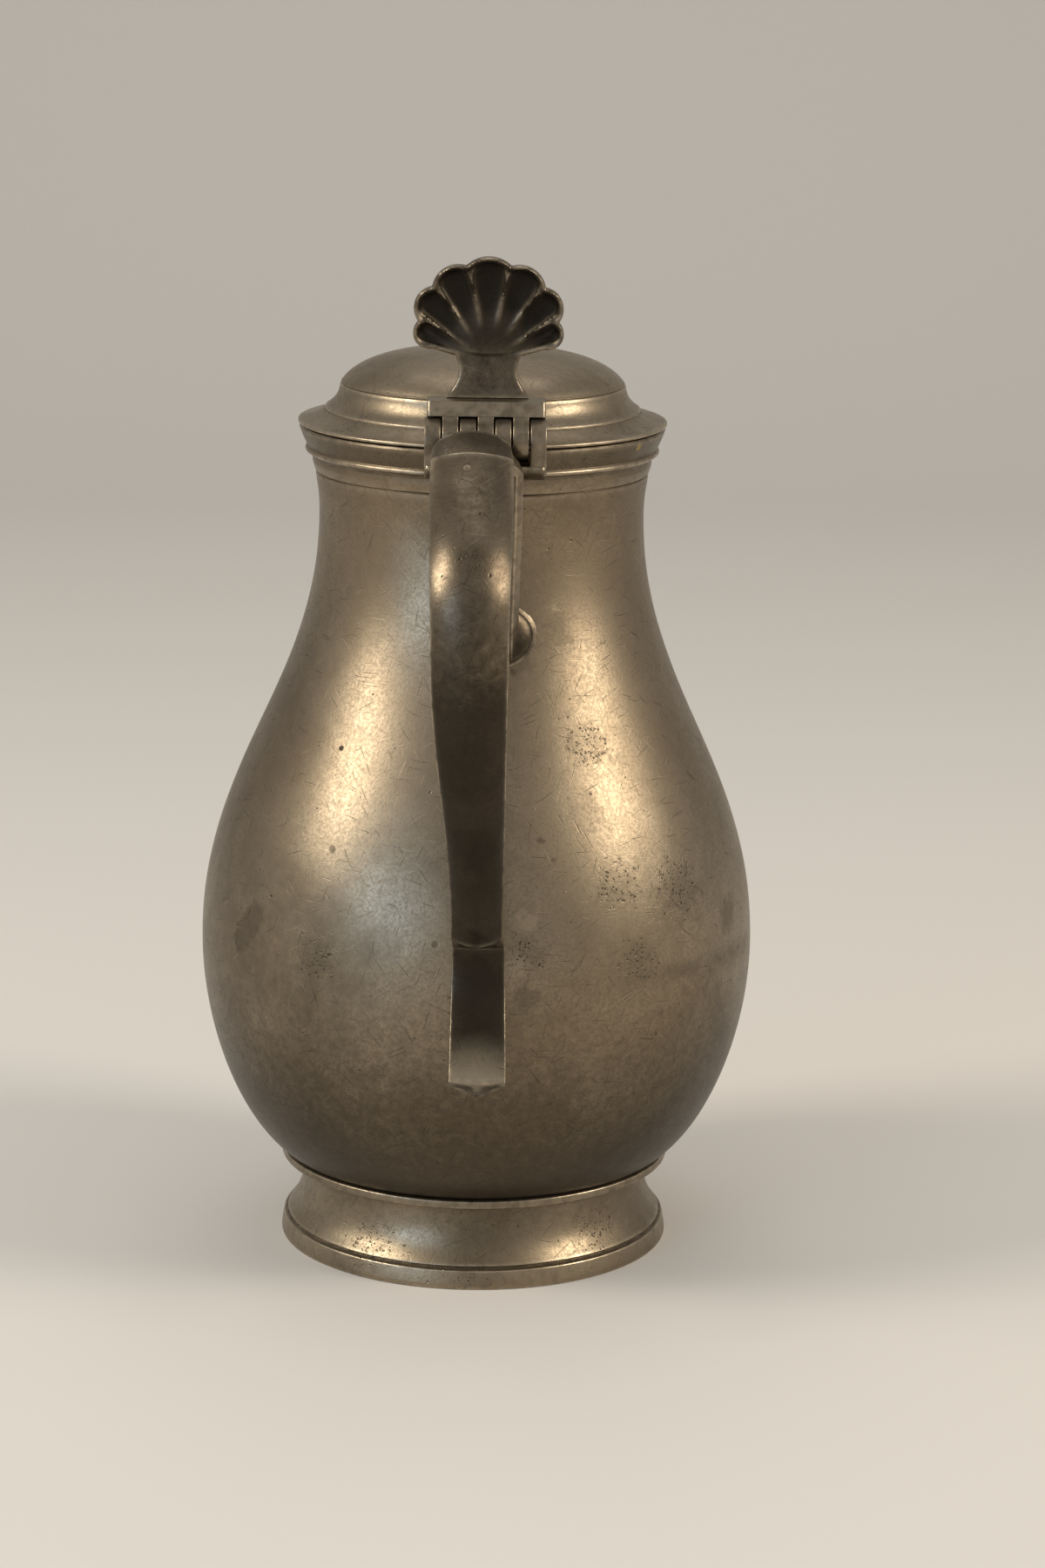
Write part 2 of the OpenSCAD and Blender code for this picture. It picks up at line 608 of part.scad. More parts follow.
// The ear-shaped handle: leg, shoulder, grip and tail in one casting
module handle() {
    color([0.56, 0.52, 0.46])
        difference() {
            handle_solid();
            body_skin();
            shelf_block();
            plug_place()
                translate([0, 0, -plug_h])
                    cylinder(r = plug_r+lap_play, h = plug_h+over);
        }
}

// The plug that closes the vent of the casting
module handle_plug() {
    color([0.66, 0.62, 0.55])
        plug_place()
            translate([0, 0, -plug_h])
                cylinder(r = plug_r, h = plug_h);
}

// The oval pad that carries the leg of the handle on the neck: it leans with the wall and its
// sides sink to the wall where that turns away
pad_steps = 40;
skin_steps = 360;
pad_lean_angle = atan2(belly_out_at(pad_z-pad_half_h)-belly_out_at(pad_z+pad_half_h), pad_half_h*2);
pad_sink = leg_root - sqrt(leg_root*leg_root - pad_half_w*pad_half_w);
pad_deep = pad_t + pad_sink;
pad_tall = pad_half_h/sqrt(1 - pow(pad_sink/pad_deep, 2));
module neck_pad() {
    color([0.62, 0.58, 0.51])
        difference() {
            translate([hinge_set, pad_sink-leg_root, pad_z])
                rotate([-pad_lean_angle, 0, 0])
                    scale([pad_half_w, pad_deep, pad_tall])
                        sphere(r = 1, $fn = pad_steps);
            body_skin($fn = skin_steps);
            handle_solid();
        }
}

foot();
base_disc();
lower_body();
upper_body();
neck_pad();
handle();
handle_plug();
hinge_lug();
hinge_pin();
lid();
lid_bezel();
lid_hinge_leaf();
thumbpiece();
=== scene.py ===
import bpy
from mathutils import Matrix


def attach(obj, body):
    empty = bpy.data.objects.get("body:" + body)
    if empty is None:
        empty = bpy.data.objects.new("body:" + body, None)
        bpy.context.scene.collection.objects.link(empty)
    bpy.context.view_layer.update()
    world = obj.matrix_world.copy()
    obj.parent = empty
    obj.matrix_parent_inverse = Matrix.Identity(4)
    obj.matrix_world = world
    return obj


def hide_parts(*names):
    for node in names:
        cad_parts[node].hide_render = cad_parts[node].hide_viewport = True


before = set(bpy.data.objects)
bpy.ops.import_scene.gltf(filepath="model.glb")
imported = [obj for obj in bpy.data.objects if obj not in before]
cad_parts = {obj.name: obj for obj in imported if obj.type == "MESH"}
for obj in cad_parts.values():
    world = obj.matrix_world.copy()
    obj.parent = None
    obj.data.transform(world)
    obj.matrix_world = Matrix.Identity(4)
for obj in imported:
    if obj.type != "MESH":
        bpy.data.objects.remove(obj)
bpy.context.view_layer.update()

import math
from functools import partial
import bpy
import bmesh
import numpy as np
from mathutils import Matrix, Vector
from mathutils.geometry import delaunay_2d_cdt

mm = 0.001

# Shapes are in millimetres: radius or reach from the vessel's axis, and height over the table.
# The handle, the hinge and the thumbpiece are on the -Y side.

photoCamera = {
    "place": (0.0, -1138.9, 402.7),
    "pan": 0.635, "pitch": 13.341, "roll": 0.834,     # degrees
    "lens": 94.0, "sensor": 36.0,
}

studio = {    # metres
    "floorColour": (0.60, 0.58, 0.55),
    "floorFront": -4.0, "bendStart": 1.3, "bendRadius": 0.9, "wallHeight": 3.2, "halfWidth": 4.0,
    "worldColour": (0.48, 0.47, 0.455), "aim": (0, 0, 0.14),
    "lamps": {   # place, width, height, watts, colour
        "leftSoftbox": ((-1.30, -0.42, 1.05), 0.50, 0.8, 17.0, (1.0, 0.92, 0.80)),
        "rightSoftbox": ((1.37, -0.46, 0.95), 0.50, 0.8, 17.0, (1.0, 0.90, 0.76)),
        "topSoftbox": ((0.0, 0.60, 1.60), 0.9, 0.9, 3.0, (1.0, 0.95, 0.88)),
        "windowGlint": ((-1.10, -1.32, 0.45), 0.80, 0.5, 5.0, (0.52, 0.72, 1.0)),
    },
}


def mix(a, b, share):
    return a + (b - a)*share


def polar(radius, degrees):
    return radius*math.cos(math.radians(degrees)), radius*math.sin(math.radians(degrees))


def smooth(low, high, value):
    t = np.clip((value - low)/(high - low), 0, 1)
    return t*t*(3 - 2*t)


def bezier(a, b, c, d, steps):
    # steps is a number of equal steps or a list of shares
    t = (np.linspace(0, 1, steps + 1) if isinstance(steps, int) else np.array(steps, float))[:, None]
    a, b, c, d = (np.asarray(p, float) for p in (a, b, c, d))
    return [tuple(p) for p in (1-t)**3*a + 3*(1-t)**2*t*b + 3*(1-t)*t*t*c + t**3*d]


def rounded(corners, steps=5):
    # corners are (x, y, radius); a corner with radius 0 stays sharp, and the line is closed
    line = []
    for i, (x, y, radius) in enumerate(corners):
        here = np.array((x, y), float)
        if not radius:
            line.append(tuple(here))
            continue
        last, nxt = (np.array(corners[j][:2], float) for j in (i - 1, (i + 1) % len(corners)))
        back, fore = last - here, nxt - here
        backLength, foreLength = np.linalg.norm(back), np.linalg.norm(fore)
        back, fore = back/backLength, fore/foreLength
        half = math.acos(max(-1, min(1, float(back @ fore))))/2
        cut = min(radius/max(math.tan(half), 1e-3), backLength*0.49, foreLength*0.49)
        for s in np.linspace(0, 1, steps + 1):
            p = (1-s)**2*(here + back*cut) + 2*s*(1-s)*here + s*s*(here + fore*cut)
            line.append(tuple(p))
    return line


def plain(points):
    return [(x, y, 0) for x, y in points]


def offsetLine(points, distance):
    p = np.array(points, float)
    way = np.gradient(p, axis=0)
    way /= np.linalg.norm(way, axis=1)[:, None]
    return [tuple(q) for q in p + distance*np.stack([-way[:, 1], way[:, 0]], axis=1)]


def newTree(name, kind, inputs, outputs):
    tree = bpy.data.node_groups.new(name, kind)
    for title, socket, value in inputs:
        s = tree.interface.new_socket(title, in_out="INPUT", socket_type=socket)
        if value is not None:
            s.default_value = value
    for title, socket in outputs:
        tree.interface.new_socket(title, in_out="OUTPUT", socket_type=socket)
    return tree, tree.nodes.new("NodeGroupInput"), tree.nodes.new("NodeGroupOutput")


def put(tree, kind, values=None, **settings):
    # a node with its settings; values maps a socket's name or number to a value or to another socket
    node = tree.nodes.new(kind)
    for key, setting in settings.items():
        setattr(node, key, setting)
    for key, value in (values or {}).items():
        socket = node.inputs[key]
        if isinstance(value, bpy.types.NodeSocket):
            tree.links.new(value, socket)
        else:
            socket.default_value = value
    return node


def spaced(title):
    # a socket's name from a plain one: speckShare is Speck Share
    return "".join(" " + c if c.isupper() else c for c in title).title()


def home(*values):
    # the tree of the first socket among the values
    return next(v.id_data for v in values if isinstance(v, bpy.types.NodeSocket))


def calc(operation, a, b):
    return put(home(a, b), "ShaderNodeMath", {0: a, 1: b}, operation=operation).outputs[0]


plus, minus, times, ratio, most, least, isBelow = (partial(calc, operation) for operation in (
    "ADD", "SUBTRACT", "MULTIPLY", "DIVIDE", "MAXIMUM", "MINIMUM", "LESS_THAN"))


def noise(where, scale, detail=2.0, output="Fac", **values):
    values = {"Vector": where, "Scale": scale, "Detail": detail, **values}
    return put(home(where), "ShaderNodeTexNoise", values).outputs[output]


def vector(operation, a, b=None, share=None):
    values = {i: v for i, v in ((0, a), (1, b), (3, share)) if v is not None}
    node = put(home(a), "ShaderNodeVectorMath", values, operation=operation)
    return node.outputs["Value" if operation in ("DISTANCE", "LENGTH") else "Vector"]


def spread(value, low, high, bottom=0.0, top=1.0, **settings):
    values = {"Value": value, "From Min": low, "From Max": high, "To Min": bottom, "To Max": top}
    return put(home(value), "ShaderNodeMapRange", values, **settings).outputs[0]


def blend(mask, below, above):
    return put(home(mask), "ShaderNodeMix", {0: mask, 6: below, 7: above}, data_type="RGBA").outputs[2]


def newPiece(name, verts, faces, edges=(), scale=mm):
    mesh = bpy.data.meshes.new(name)
    mesh.from_pydata([Vector(v)*scale for v in verts], edges, faces)
    piece = bpy.data.objects.new(name, mesh)
    bpy.context.scene.collection.objects.link(piece)
    return piece


def tubeFaces(rows, n):
    # the sides between rows of n points each, and both ends
    sides = [(i*n + j, i*n + (j + 1) % n, (i + 1)*n + (j + 1) % n, (i + 1)*n + j)
             for i in range(rows - 1) for j in range(n)]
    return sides + [tuple(reversed(range(n))), tuple((rows - 1)*n + j for j in range(n))]


def keepResult(piece, modifier):
    # the plain mesh that a modifier makes takes the place of the piece's own
    seen = piece.evaluated_get(bpy.context.evaluated_depsgraph_get())
    mesh = bpy.data.meshes.new_from_object(seen)
    piece.modifiers.remove(modifier)
    old, piece.data = piece.data, mesh
    bpy.data.meshes.remove(old)
    mesh.name = piece.name


def runTree(name, tree, outline, inputs):
    # lays a Geometry Nodes tree over a closed outline
    count = len(outline)
    piece = newPiece(name, outline, [], [(i, (i + 1) % count) for i in range(count)])
    modifier = piece.modifiers.new("Tree", "NODES")
    modifier.node_group = tree
    sockets = {s.name: s.identifier for s in tree.interface.items_tree if s.in_out == "INPUT"}
    for title, value in inputs.items():
        modifier[sockets[title]] = value
    keepResult(piece, modifier)
    return piece


def bevelEdges(piece, width, angle):
    modifier = piece.modifiers.new("Bevel", "BEVEL")
    modifier.width, modifier.segments = width*mm, 3
    modifier.limit_method, modifier.angle_limit = "ANGLE", math.radians(angle)
    modifier.harden_normals = False
    keepResult(piece, modifier)


def placesOf(mesh):
    place = np.empty(len(mesh.vertices)*3)
    mesh.vertices.foreach_get("co", place)
    return place.reshape(-1, 3)


def storeWear(mesh, span):
    # wear is high on convex edges and hollow is high in grooves, from the real curvature in 1/mm
    count = len(mesh.vertices)
    place, normal = placesOf(mesh)/mm, np.empty(count*3)
    mesh.vertex_normals.foreach_get("vector", normal)
    normal = normal.reshape(-1, 3)
    ends = np.empty(len(mesh.edges)*2, int)
    mesh.edges.foreach_get("vertices", ends)
    a, b = ends.reshape(-1, 2).T
    step = place[b] - place[a]
    length2 = np.maximum((step*step).sum(1), 1e-9)
    bend = np.zeros(count)
    links = np.zeros(count)
    np.add.at(bend, a, -2*(normal[a]*step).sum(1)/length2)
    np.add.at(bend, b, 2*(normal[b]*step).sum(1)/length2)
    np.add.at(links, a, 1)
    np.add.at(links, b, 1)
    bend /= np.maximum(links, 1)
    for title, value in (("wear", smooth(*span, bend)), ("hollow", smooth(0.10, 0.8, -bend))):
        for _ in range(2):   # each round spreads the value to the neighbours
            total = value.copy()
            np.add.at(total, a, value[b])
            np.add.at(total, b, value[a])
            value = total/(links + 1)
        layer = mesh.attributes.new(title, "FLOAT", "POINT")
        layer.data.foreach_set("value", value.astype(np.float32))


def reworkWear(piece, title, rule):
    # changes a stored wear value by a rule of the places, in millimetres, and the values
    layer, value = piece.data.attributes[title].data, np.empty(len(piece.data.vertices))
    layer.foreach_get("value", value)
    layer.foreach_set("value", rule(placesOf(piece.data)/mm, value).astype(np.float32))


def finishPiece(piece, body, nodes, finish, sharp, wearSpan=(0.12, 0.9)):
    work = bmesh.new()
    work.from_mesh(piece.data)
    bmesh.ops.remove_doubles(work, verts=work.verts, dist=0.002*mm)
    bmesh.ops.recalc_face_normals(work, faces=work.faces)
    for face in work.faces:
        face.smooth = True
    for edge in work.edges:
        edge.smooth = not (edge.is_manifold and edge.calc_face_angle(0) > math.radians(sharp))
    work.to_mesh(piece.data)
    holes = sum(1 for edge in work.edges if not edge.is_manifold)
    work.free()
    storeWear(piece.data, wearSpan)
    piece.data.materials.clear()
    piece.data.materials.append(material[finish])
    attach(piece, body)
    if nodes:
        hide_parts(*nodes)
    print("made", piece.name, len(piece.data.polygons), "faces", "with holes" if holes else "")


# Shader groups: the effects that several pewter finishes share

def newEffect(name, inputs, outputs=("Mask",)):
    # inputs with one number are plain floats; colours and places say so by their length
    kinds = {1: "NodeSocketFloat", 3: "NodeSocketVector", 4: "NodeSocketColor"}
    sockets = [(title, kinds[np.size(value)], value) for title, value in inputs.items()]
    tree, gin, gout = newTree(name, "ShaderNodeTree", sockets,
                              [(title, kinds[4 if title == "Color" else 1]) for title in outputs])

    def done(*results):
        for title, value in zip(outputs, results):
            tree.links.new(value, gout.inputs[title])
        return tree

    return tree, gin.outputs, put(tree, "ShaderNodeTexCoord").outputs["Object"], done


def spottedCells(where, scale, radius, smallest, amount):
    # small round spots in some of the cells, from clear at the rim to full at half way
    cell = put(home(where), "ShaderNodeTexVoronoi", {"Vector": where, "Scale": scale, "Randomness": 1.0})
    pick = put(home(where), "ShaderNodeSeparateColor", {0: cell.outputs["Color"]}).outputs
    reach = times(radius, plus(pick[1], smallest))
    depth = minus(1.0, ratio(cell.outputs["Distance"], reach))
    return times(spread(depth, 0.0, 0.5), isBelow(pick[0], amount))


def buildPatinaTone():
    tree, given, place, done = newEffect("Patina Tone", {
        "Light Tone": (0.40, 0.35, 0.27, 1), "Deep Tone": (0.24, 0.20, 0.15, 1),
        "Warm Tone": (0.36, 0.28, 0.18, 1), "Cloud Scale": 30.0, "Speck Scale": 900.0, "Speck Share": 0.35},
        ("Color", "Cloud", "Speck"))
    size = given["Cloud Scale"]
    wideCloud = noise(place, size, 5.0, Roughness=0.62, Distortion=0.4)
    mottle = noise(place, times(size, 10.0), 4.0, Roughness=0.7)
    cloud = spread(plus(times(wideCloud, 0.7), times(mottle, 0.3)), 0.38, 0.61)
    shifted = put(tree, "ShaderNodeMapping", {"Vector": place, "Location": (3.1, 1.7, 0.4)}).outputs[0]
    warm = spread(noise(shifted, times(size, 0.41), 3.0), 0.45, 0.7)
    speck = spread(noise(place, given["Speck Scale"], 4.0, Roughness=0.8), 0.44, 0.60)
    tone = blend(cloud, given["Light Tone"], given["Deep Tone"])
    tone = blend(times(warm, 0.55), tone, given["Warm Tone"])
    tone = blend(times(speck, given["Speck Share"]), tone, given["Deep Tone"])
    return done(tone, cloud, speck)


def buildScratches():
    # each scratch is a thin leaf in space, seen where the surface cuts it
    tree, given, place, done = newEffect("Fine Scratches", {
        "Scale": 100.0, "Radius": 0.3, "Amount": 0.06, "Share": 0.5, "Seed": 0.0})
    place = vector("ADD", place, given["Seed"])
    place = vector("ADD", place, vector("SCALE", noise(place, 45.0, 1.0, "Color"), share=0.007))
    total = None
    for turn in ((0, 0.35, 0.1), (0, 1.05, -0.15), (0, 1.75, 0.1), (0.1, 2.5, -0.1)):
        leaf = {"Vector": place, "Rotation": turn, "Scale": (1/24, 1, 1)}
        way = put(tree, "ShaderNodeMapping", leaf, vector_type="TEXTURE").outputs[0]
        line = spottedCells(way, given["Scale"], given["Radius"], 0.4, given["Amount"])
        total = line if total is None else most(total, line)
    return done(times(total, given["Share"]))


def buildPits():
    _, given, place, done = newEffect("Corrosion Pits", {"Scale": 180.0, "Radius": 0.22, "Share": 0.10})
    place = vector("ADD", place, vector("SCALE", noise(place, 700.0, 2.0, "Color"), share=0.0016))
    return done(spottedCells(place, given["Scale"], given["Radius"], 0.35, given["Share"]))


def buildSpot():
    _, given, place, done = newEffect("Soft Spot", {
        "Centre": (0, 0, 0), "Radius": 0.01, "Ragged": 0.0, "Softness": 0.6})
    away = plus(ratio(vector("DISTANCE", place, given["Centre"]), given["Radius"]), given["Ragged"])
    return done(spread(away, 1.0, minus(1.0, given["Softness"]), interpolation_type="SMOOTHSTEP"))


def buildHeightShade():
    tree, given, place, done = newEffect("Height Shade", {
        "Clear Height": 0.09, "Full Height": 0.03, "Ragged": 0.0, "Share": 0.5})
    height = put(tree, "ShaderNodeSeparateXYZ", {0: place}).outputs[2]
    clear, full = given["Clear Height"], given["Full Height"]
    level = plus(ratio(minus(height, clear), minus(full, clear)), times(given["Ragged"], 0.35))
    return done(spread(level, 0.0, 1.0, top=given["Share"], interpolation_type="SMOOTHSTEP"))


def buildWearAndPaintedLight():
    tree, given, place, done = newEffect("Wear And Painted Light", {
        "Break Scale": 350.0, "Wear Share": 0.8, "Grime Share": 0.8}, ("Wear", "Grime"))
    ragged = spread(noise(place, given["Break Scale"], 3.0), 0.35, 0.6, bottom=0.35)
    wear, hollow, flute = (put(tree, "ShaderNodeAttribute", attribute_name=title).outputs["Fac"]
                           for title in ("wear", "hollow", "flute"))
    wear = times(times(wear, ragged), given["Wear Share"])
    # grime in the hollows, and painted shade in the flutes and along the knock
    grime = most(times(times(hollow, ragged), given["Grime Share"]), times(flute, 1.1))
    return done(*(put(tree, "ShaderNodeClamp", {0: mask}).outputs[0] for mask in (wear, grime)))


def buildTurningLines():
    tree, given, place, done = newEffect("Turning Lines", {"Fineness": 2200.0}, ("Height",))
    parts = put(tree, "ShaderNodeSeparateXYZ", {0: place}).outputs
    flat = put(tree, "ShaderNodeCombineXYZ", {0: parts[0], 1: parts[1]}).outputs[0]
    ring = put(tree, "ShaderNodeCombineXYZ", {0: vector("LENGTH", flat), 1: parts[2]}).outputs[0]
    return done(noise(ring, given["Fineness"]))


patinaTone, scratches, pits, softSpot = buildPatinaTone(), buildScratches(), buildPits(), buildSpot()
heightShade, wearAndPaintedLight, turningLines = buildHeightShade(), buildWearAndPaintedLight(), buildTurningLines()

usualFinish = {   # what most of the finishes share
    "wear": 1.0, "grime": 1.0, "turning": 0.0, "shades": [], "pitShare": 0.17, "scratch": 0.3,
}
finishes = {   # colours are linear; shades darken from a clear height to a full height by a share
    "bodyPewter": {
        "light": (0.30, 0.245, 0.172), "deep": (0.16, 0.128, 0.088), "warm": (0.26, 0.192, 0.118),
        "cloud": 26.0, "speck": 1080.0, "speckShare": 0.62, "rough": 0.35, "roughSpan": 0.05,
        "wear": 0.8, "grime": 0.9, "scratch": 0.42, "turning": 0.10, "grain": 0.2,
        "shades": [(104, 34, 0.76), (230.4, 231.4, 0.45), (235.6, 236.1, 0.6), (205, 226, 0.2)]},
    "footPewter": {
        "light": (0.32, 0.262, 0.182), "deep": (0.17, 0.137, 0.094), "warm": (0.27, 0.2, 0.122),
        "cloud": 34.0, "speck": 1125.0, "speckShare": 0.55, "rough": 0.34, "roughSpan": 0.10,
        "pitShare": 0.26, "scratch": 0.38, "turning": 0.22, "grain": 0.18, "shades": [(21.5, 24.0, 0.35)]},
    "lidPewter": {
        "light": (0.31, 0.254, 0.178), "deep": (0.18, 0.144, 0.098), "warm": (0.27, 0.205, 0.128),
        "cloud": 34.0, "speck": 1170.0, "speckShare": 0.50, "rough": 0.36, "roughSpan": 0.08,
        "pitShare": 0.2, "scratch": 0.34, "turning": 0.20, "grain": 0.20, "shades": [(237.0, 236.6, 0.7)]},
    # the handle's pewter is darker than the body's: painted shade
    "handlePewter": {
        "light": (0.22, 0.176, 0.123), "deep": (0.085, 0.066, 0.045), "warm": (0.17, 0.123, 0.074),
        "cloud": 42.0, "speck": 1170.0, "speckShare": 0.42, "rough": 0.31, "roughSpan": 0.14,
        "pitShare": 0.13, "scratch": 0.36, "grain": 0.18, "shades": [(206, 178, 0.88), (220, 236, 0.12)]},
    # the hinge's pewter is darker than the body's: painted shade
    "hingePewter": {
        "light": (0.165, 0.13, 0.09), "deep": (0.075, 0.058, 0.04), "warm": (0.14, 0.102, 0.063),
        "cloud": 90.0, "speck": 1260.0, "speckShare": 0.32, "rough": 0.36, "roughSpan": 0.08,
        "wear": 0.6, "pitShare": 0.06, "grain": 0.2},
    # the shell's pewter is darker than the body's, with more grime in its flutes: painted shade
    "shellPewter": {
        "light": (0.20, 0.162, 0.115), "deep": (0.075, 0.06, 0.043), "warm": (0.16, 0.118, 0.073),
        "cloud": 70.0, "speck": 1125.0, "speckShare": 0.34, "rough": 0.36, "roughSpan": 0.12,
        "grime": 1.16, "pitShare": 0.12, "grain": 0.26, "shades": [(257, 267, 0.76)]},
    "insidePewter": {
        "light": (0.27, 0.235, 0.18), "deep": (0.14, 0.12, 0.09), "warm": (0.20, 0.16, 0.11),
        "cloud": 30.0, "speck": 700.0, "speckShare": 0.5, "rough": 0.5, "roughSpan": 0.1,
        "wear": 0.5, "scratch": 0.1, "turning": 0.3, "grain": 0.4},
    "pinIron": {
        "light": (0.22, 0.20, 0.18), "deep": (0.10, 0.085, 0.07), "warm": (0.18, 0.11, 0.06),
        "cloud": 300.0, "speck": 1500.0, "speckShare": 0.5, "rough": 0.45, "roughSpan": 0.15,
        "wear": 0.6, "grime": 0.8, "scratch": 0.2, "grain": 0.5},
}

# Marks that the photograph shows: centre and radius in millimetres, strength and raggedness
marks = {
    "bodyPewter": {
        "stainsAndShade": [
            ((-65.6, -43.2, 97.4), 4.4, 0.42, 0.5), ((-64.5, -44.6, 99.6), 5.0, 0.42, 0.5),
            ((-63.3, -45.9, 101.8), 5.2, 0.42, 0.5), ((-62.1, -47.1, 104.0), 5.0, 0.42, 0.5),
            ((-61.0, -48.2, 106.2), 4.4, 0.42, 0.5), ((70.0, -33.7, 103.5), 7.0, 0.32, 0.8),
            ((-37.6, -47.9, 153.4), 0.9, 0.95, 0.2), ((-39.4, -59.8, 127.9), 1.3, 0.55, 0.3),
            ((-11.3, -76.5, 106.1), 1.1, 0.55, 0.3), ((17.0, -67.5, 133.2), 1.2, 0.6, 1),
            ((20.4, -68.7, 128.0), 1.0, 0.6, 1), ((10.5, -49.0, 178.0), 4.5, 0.35, 1),
            ((9.2, -51.2, 176.0), 1.3, 0.6, 0.5), ((22.0, -46.0, 186.0), 7.0, 0.28, 1),
            ((14.0, -78.0, 92.0), 5.0, 0.35, 1), ((-12.0, -46.0, 214.0), 8.0, 0.22, 1),
            ((30.0, -60.0, 140.0), 8.0, 0.18, 1)],
        "pitted": [
            ((-43.1, -65.4, 97.7), 9.0, 0.8, 1), ((38.6, -63.5, 119.8), 8.5, 0.9, 1),
            ((55.3, -51.5, 114.8), 12.0, 1.0, 1), ((29.2, -51.5, 157.0), 8.0, 0.9, 1),
            ((44.7, -64.3, 98.2), 9.0, 0.8, 1), ((13.5, -76.0, 104.0), 7.0, 0.9, 1)],
        "pale": [
            ((13.5, -74.8, 112.0), 4.0, 0.22, 1), ((11.0, -77.0, 101.0), 4.5, 0.22, 1),
            ((20.0, -44.5, 193.0), 2.6, 0.35, 1)],
        "residue": [((42.7, -27.0, 234.5), 1.6, 0.6, 1)]},
    "handlePewter": {
        # below the break these are a painted shadow of the grip's end, on the keel under the tail's end
        # painted shade, and on the lower grip painted shade
        "stainsAndShade": [
            ((-1.5, -103.0, 138.0), 9.0, 0.45, 0.6), ((0.3, -88.5, 107.5), 6.5, 0.75, 0.4),
            ((0.5, -83.0, 99.0), 7.0, 0.6, 0.4), ((-3.6, -94.4, 71.0), 4.4, 0.8, 0.25),
            ((4.6, -94.4, 71.0), 4.4, 0.8, 0.25), ((0.5, -92.4, 69.2), 4.0, 0.8, 0.25),
            ((-2.5, -112.0, 165.0), 7.0, 0.3, 0.6)],
        "pitted": [((-2.7, -108.0, 216.0), 6.0, 0.6, 1)],
        # the broad pale spot on the tail's end is a painted highlight where the end turns up to the light
        "pale": [((0.6, -98.0, 76.0), 15.0, 0.46, 0.1)]},
    "footPewter": {
        "stainsAndShade": [
            # the first, broad spot is painted shade on the front of the foot
            ((2.0, -47.0, 19.0), 26.0, 0.45, 0.1), ((-38.0, -41.0, 4.0), 5.0, 0.35, 1),
            ((22.0, -51.0, 4.0), 4.0, 0.3, 1), ((-45.0, -30.0, 10.0), 6.0, 0.25, 1)],
        "pitted": [
            ((-30.0, -44.0, 9.0), 10.0, 0.8, 1), ((35.0, -38.0, 12.0), 9.0, 0.7, 1),
            ((0.0, -54.0, 3.0), 9.0, 0.6, 1)]},
    "lidPewter": {
        "residue": [((50.3, -8.5, 237.2), 1.4, 0.6, 1)],
        "stainsAndShade": [
            # the first, broad spot is painted shade that dims the dome's left shoulder
            ((-27.0, -8.0, 254.0), 24.0, 0.3, 0.1), ((-30.0, -25.0, 246.0), 7.0, 0.2, 1),
            ((38.0, -28.0, 239.0), 6.0, 0.25, 1)],
        "pitted": [((-36.0, -30.0, 239.0), 6.0, 0.6, 1)]},
}
# the worn colour also serves the painted highlights
residueColour, wornAndLitColour = (0.42, 0.30, 0.09), (0.48, 0.40, 0.29)
surface = {   # cover is a layer's share of the tone under it, and dullness is what it adds to the roughness
    "darkShare": 0.28, "raggedScale": 380.0, "raggedGain": 2.4, "cutsGain": 1.5, "clusterGain": 1.9,
    "pits": {"scale": 320.0, "radius": 0.12}, "pinholes": {"scale": 760.0, "radius": 0.2, "share": 0.16},
    "clusters": {"scale": 1250.0, "radius": 0.46, "share": 0.62},
    "cuts": {"scale": 112.0, "radius": 0.32, "amount": 0.10, "seed": 0.37},
    "cover": {"scratch": 0.45, "pitted": 0.28, "grime": 0.82, "cuts": 0.9, "pits": 0.85, "pinholes": 0.6,
              "wear": 0.85},
    "dullness": {"pale": 0.15, "stainsAndShade": 0.22, "residue": 0.2, "grime": 0.2, "wear": 0.08, "speck": 0.06},
    "cutDepth": 0.6, "pitDepth": 2.0, "bump": 0.35, "bumpDistance": 0.00012, "metallic": 0.94,
}


def spotMask(tree, spots, ragged):
    # the strongest of several soft spots at each place
    total = None
    for centre, radius, strength, raggedness in spots:
        spot = put(tree, "ShaderNodeGroup", {
            "Centre": Vector(centre)*mm, "Radius": radius*mm, "Ragged": times(ragged, raggedness),
            "Softness": 0.9 if raggedness < 0.2 else 0.2 + 0.5*raggedness}, node_tree=softSpot)
        spot = times(spot.outputs[0], strength)
        total = spot if total is None else most(total, spot)
    return total


